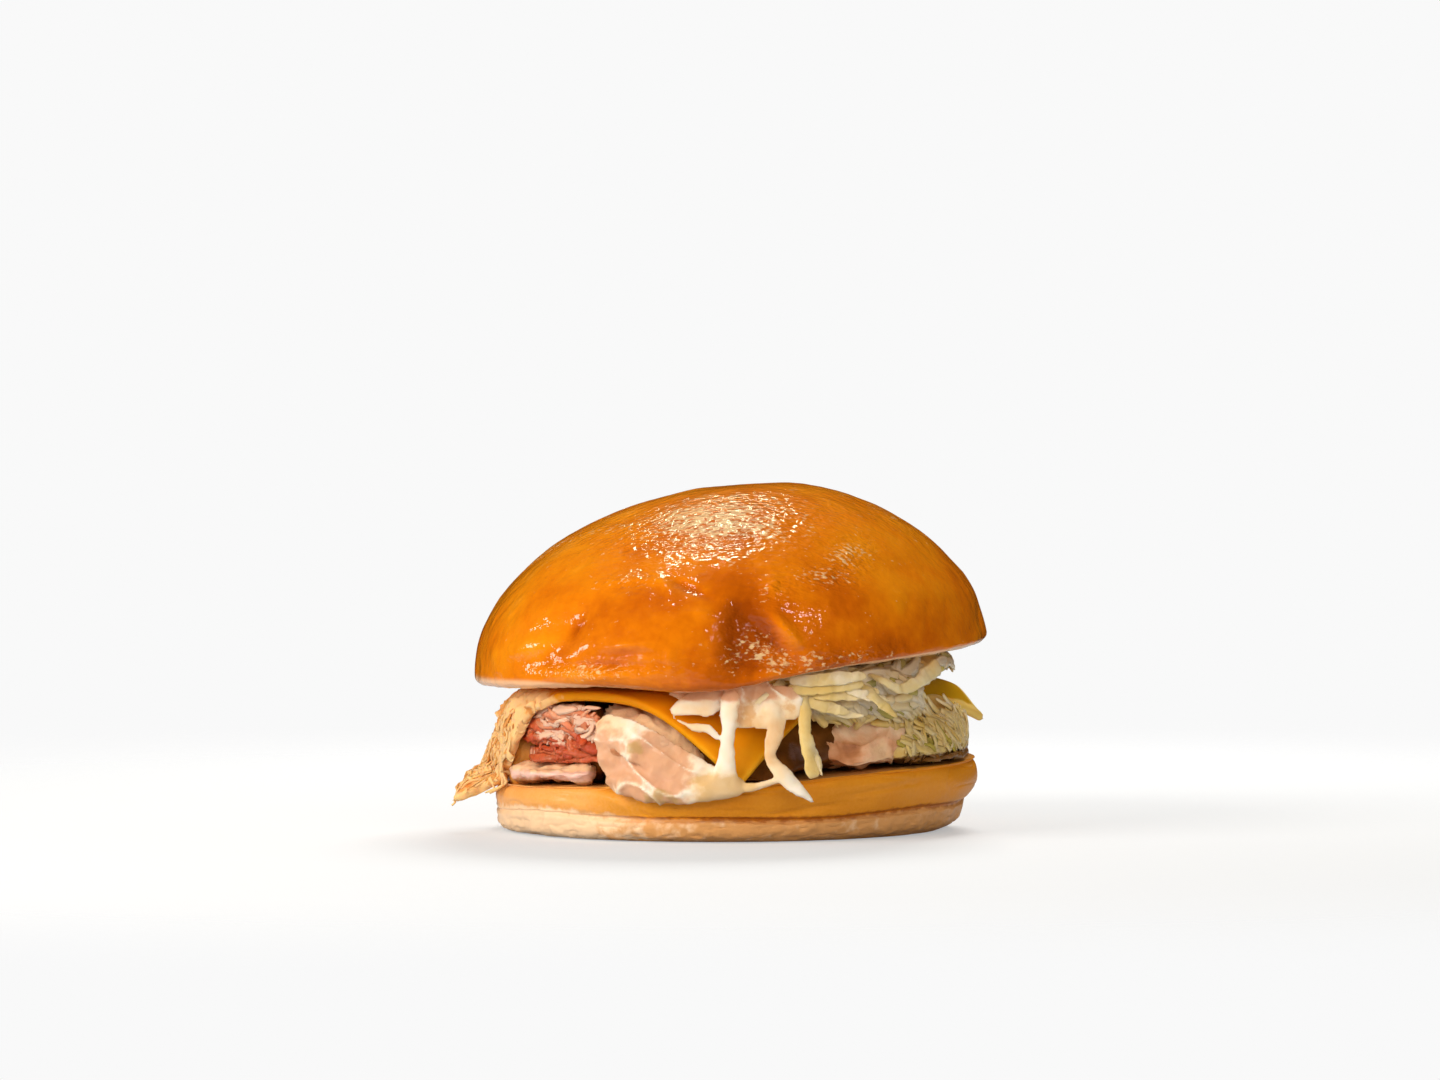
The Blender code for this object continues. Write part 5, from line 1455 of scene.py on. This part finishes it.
# %% The dressing's runs
DRIPS = (
    (((0.8, -45, 33.6), (0.3, -49.8, 31), (-0.3, -50.9, 24.5), (-0.9, -51.4, 17), (-1.2, -51.8, 12)),
     (3.2, 3.6, 3.4, 4.4, 8), 2),
    (((6.5, -46, 32), (8.4, -49.6, 29), (9.6, -50.6, 24.5), (8.2, -51, 18.6), (12, -52, 13.9),
      (17.2, -52.4, 9)), (3, 3.6, 4.2, 2.7, 3.6, 1.2), 1.5),
    (((2, -50.8, 12), (5, -51.5, 12.2), (8.5, -51.7, 13.2), (11, -51.8, 14.4)),
     (3.2, 1.5, 1.1, 1.4), 1.4),
    (((-26, -43.2, 13.4), (-20, -46.6, 12.4), (-13, -48.8, 11.6), (-5, -50.4, 12), (3, -50.8, 12.4)),
     (3, 5.6, 6.6, 6.4, 4), 4.4),
    # Thin threads and films: leaf to drip, drip to drip, and sauce over the left chicken.
    (((-12.2, -48, 26.4), (-8, -49.4, 24.6), (-4.6, -50.2, 24.2), (-2.2, -50.7, 22)),
     (0.8, 1.5, 1.4, 1.6), 0.9),
    (((-2.2, -49.4, 28.6), (2.4, -49.2, 28.2), (7, -49.4, 28.6), (11.6, -49, 29.4), (15, -48.6, 30)),
     (8.8, 9.2, 9.6, 8, 6), 0.8),
    (((-13, -44.6, 31.2), (-6, -46.8, 31.6), (2, -47.6, 31.8), (9, -47.2, 32.4)),
     (2.4, 3.6, 3.6, 3), 1.2),
    # A sauced leaf that points left, and the pale layers over the left chicken.
    (((0, -42, 32), (-3.4, -47, 30.4), (-7.6, -48.2, 29.4), (-12.4, -48.3, 27.5)), (3, 7, 6, 1.4), 1.3),
    (((-27.4, -39.6, 25.4), (-26.4, -42.2, 23.6), (-26, -43.2, 20.4), (-25.4, -43.8, 17),
      (-24, -44.4, 13.5)), (2.4, 4.6, 5.6, 5.8, 4), 0.9),
    (((-27, -39.5, 25.5), (-21, -45.9, 22), (-13, -48.9, 17.8), (-5, -50.4, 14.4), (1, -51, 12.6)),
     (5, 8, 8, 5.6, 3), 1.3),
    (((-27, -38.8, 18.6), (-21.5, -45.2, 16.8), (-16, -48, 15), (-9, -49.8, 13.6)),
     (5, 6.6, 6.4, 4), 1.7),
)
DRIP_STATIONS = 70
DRIP_CORNERS = 20
DRIP_VOXEL = 0.38
DRIP_SMOOTHINGS = 4
ROUND_SECTION = -stacked(np.cos(turns(DRIP_CORNERS)), np.sin(turns(DRIP_CORNERS)), 0.0)[:, :2]


def melted(piece):
    """Joins a piece's crossing bodies into one skin by a voxel remesh, and smooths it."""
    remesh = piece.modifiers.new("melt", "REMESH")
    remesh.mode = "VOXEL"
    remesh.voxel_size = DRIP_VOXEL * MM
    piece.modifiers.new("soften", "SMOOTH").iterations = DRIP_SMOOTHINGS
    graph = bpy.context.evaluated_depsgraph_get()
    result = bpy.data.meshes.new_from_object(piece.evaluated_get(graph))
    piece.modifiers.clear()
    piece.data = result
    result.shade_smooth()
    return result


# Mayonnaise: thick, opaque ivory with a soft gloss, and pink where meat juice has run into it.
mayonnaise = food(
    "mayonnaise", ((0.0, "#e8bc88"), (0.5, "#f8e0c0"), (1.0, "#fff6ea")), 5.0, 1.6, 0.12,
    0.26, 0.5, see_through(0.35, (4.0, 3.0, 2.0), 0.6),
    (("meaty", "#deaa88", 3.0, 0.9), ("herby", "#c4a468", 2.2, 0.7),
     ("thin", "#dca05c", 1.2, 0.6), ("pooled", "#dcb878", 3.0, 0.75)),
)
rings = path_ribbons(DRIPS, DRIP_STATIONS, ROUND_SECTION, 0.6)
dressing = melted(add_ribbons("mayonnaise_runs", "mayonnaise", mayonnaise, rings, {}))
print("dressing:", len(dressing.polygons), "quads after melting")

# %% The dressing's surface
at, outwards = np.empty((2, len(dressing.vertices) * 3), np.float32)
dressing.vertices.foreach_get("co", at)
dressing.vertices.foreach_get("normal", outwards)
at = at.reshape(-1, 3) / MM
x, _, z = at.T
meaty = smooth((-2.0 - x) / 12.0) * smooth((27.5 - z) / 8.0)
meaty = np.maximum(meaty, smooth((z - 28.5) / 3.0))
# The meat under the sauce shows through as fibres that run down to the right.
down = math.radians(35.0)
fibre_at = stacked(
    0.3 * (x * math.cos(down) - z * math.sin(down)), 0.0, x * math.sin(down) + z * math.cos(down),
)
fibres = meaty * ridges(fibre_at, 3.0, 221)
relief = (0.16 + 0.4 * meaty) * rough(at, 3.5, 213) + 0.7 * fibres
moved = (at + outwards.reshape(-1, 3) * relief[:, None]) * MM
dressing.vertices.foreach_set("co", moved.astype(np.float32).ravel())
# The film between the drips is so thin that the cheese's colour shows through it.
film = bump((z - 27.0) / 3.4) * (bump((x - 3.4) / 2.6) + bump((x - 12.4) / 1.6))
whiter = bump((x + 1.5) / 3.0) - bump((z - 21.0) / 5.0) * bump((x - 9.0) / 4.0)
whiter = whiter + smooth((x - 10.0) / 3.0) * smooth((16.0 - z) / 3.0)
set_marks(dressing, {
    "thin": 0.9 * film * (0.75 + 0.6 * rough(at, 3.0, 219)),
    "pooled": 0.9 * smooth((17.0 - z) / 4.0) * smooth((8.0 - x) / 5.0) * (1.0 - meaty),
    "tone": 0.55 + 0.3 * rough(at, 5.0, 211) + 0.4 * whiter + 0.5 * fibres,
    "meaty": meaty * (1.0 + 0.3 * rough(at, 6.0, 215)) - 0.65 * fibres,
    "herby": 0.7 * meaty * smooth(rough(at, 5.0, 217)),
})

# %% Sizes and the end
visual_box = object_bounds()
for name, box in (("solids", cad_box), ("dressed", visual_box)):
    print(name, [round((high - low) / MM, 1) for low, high in zip(*box)])
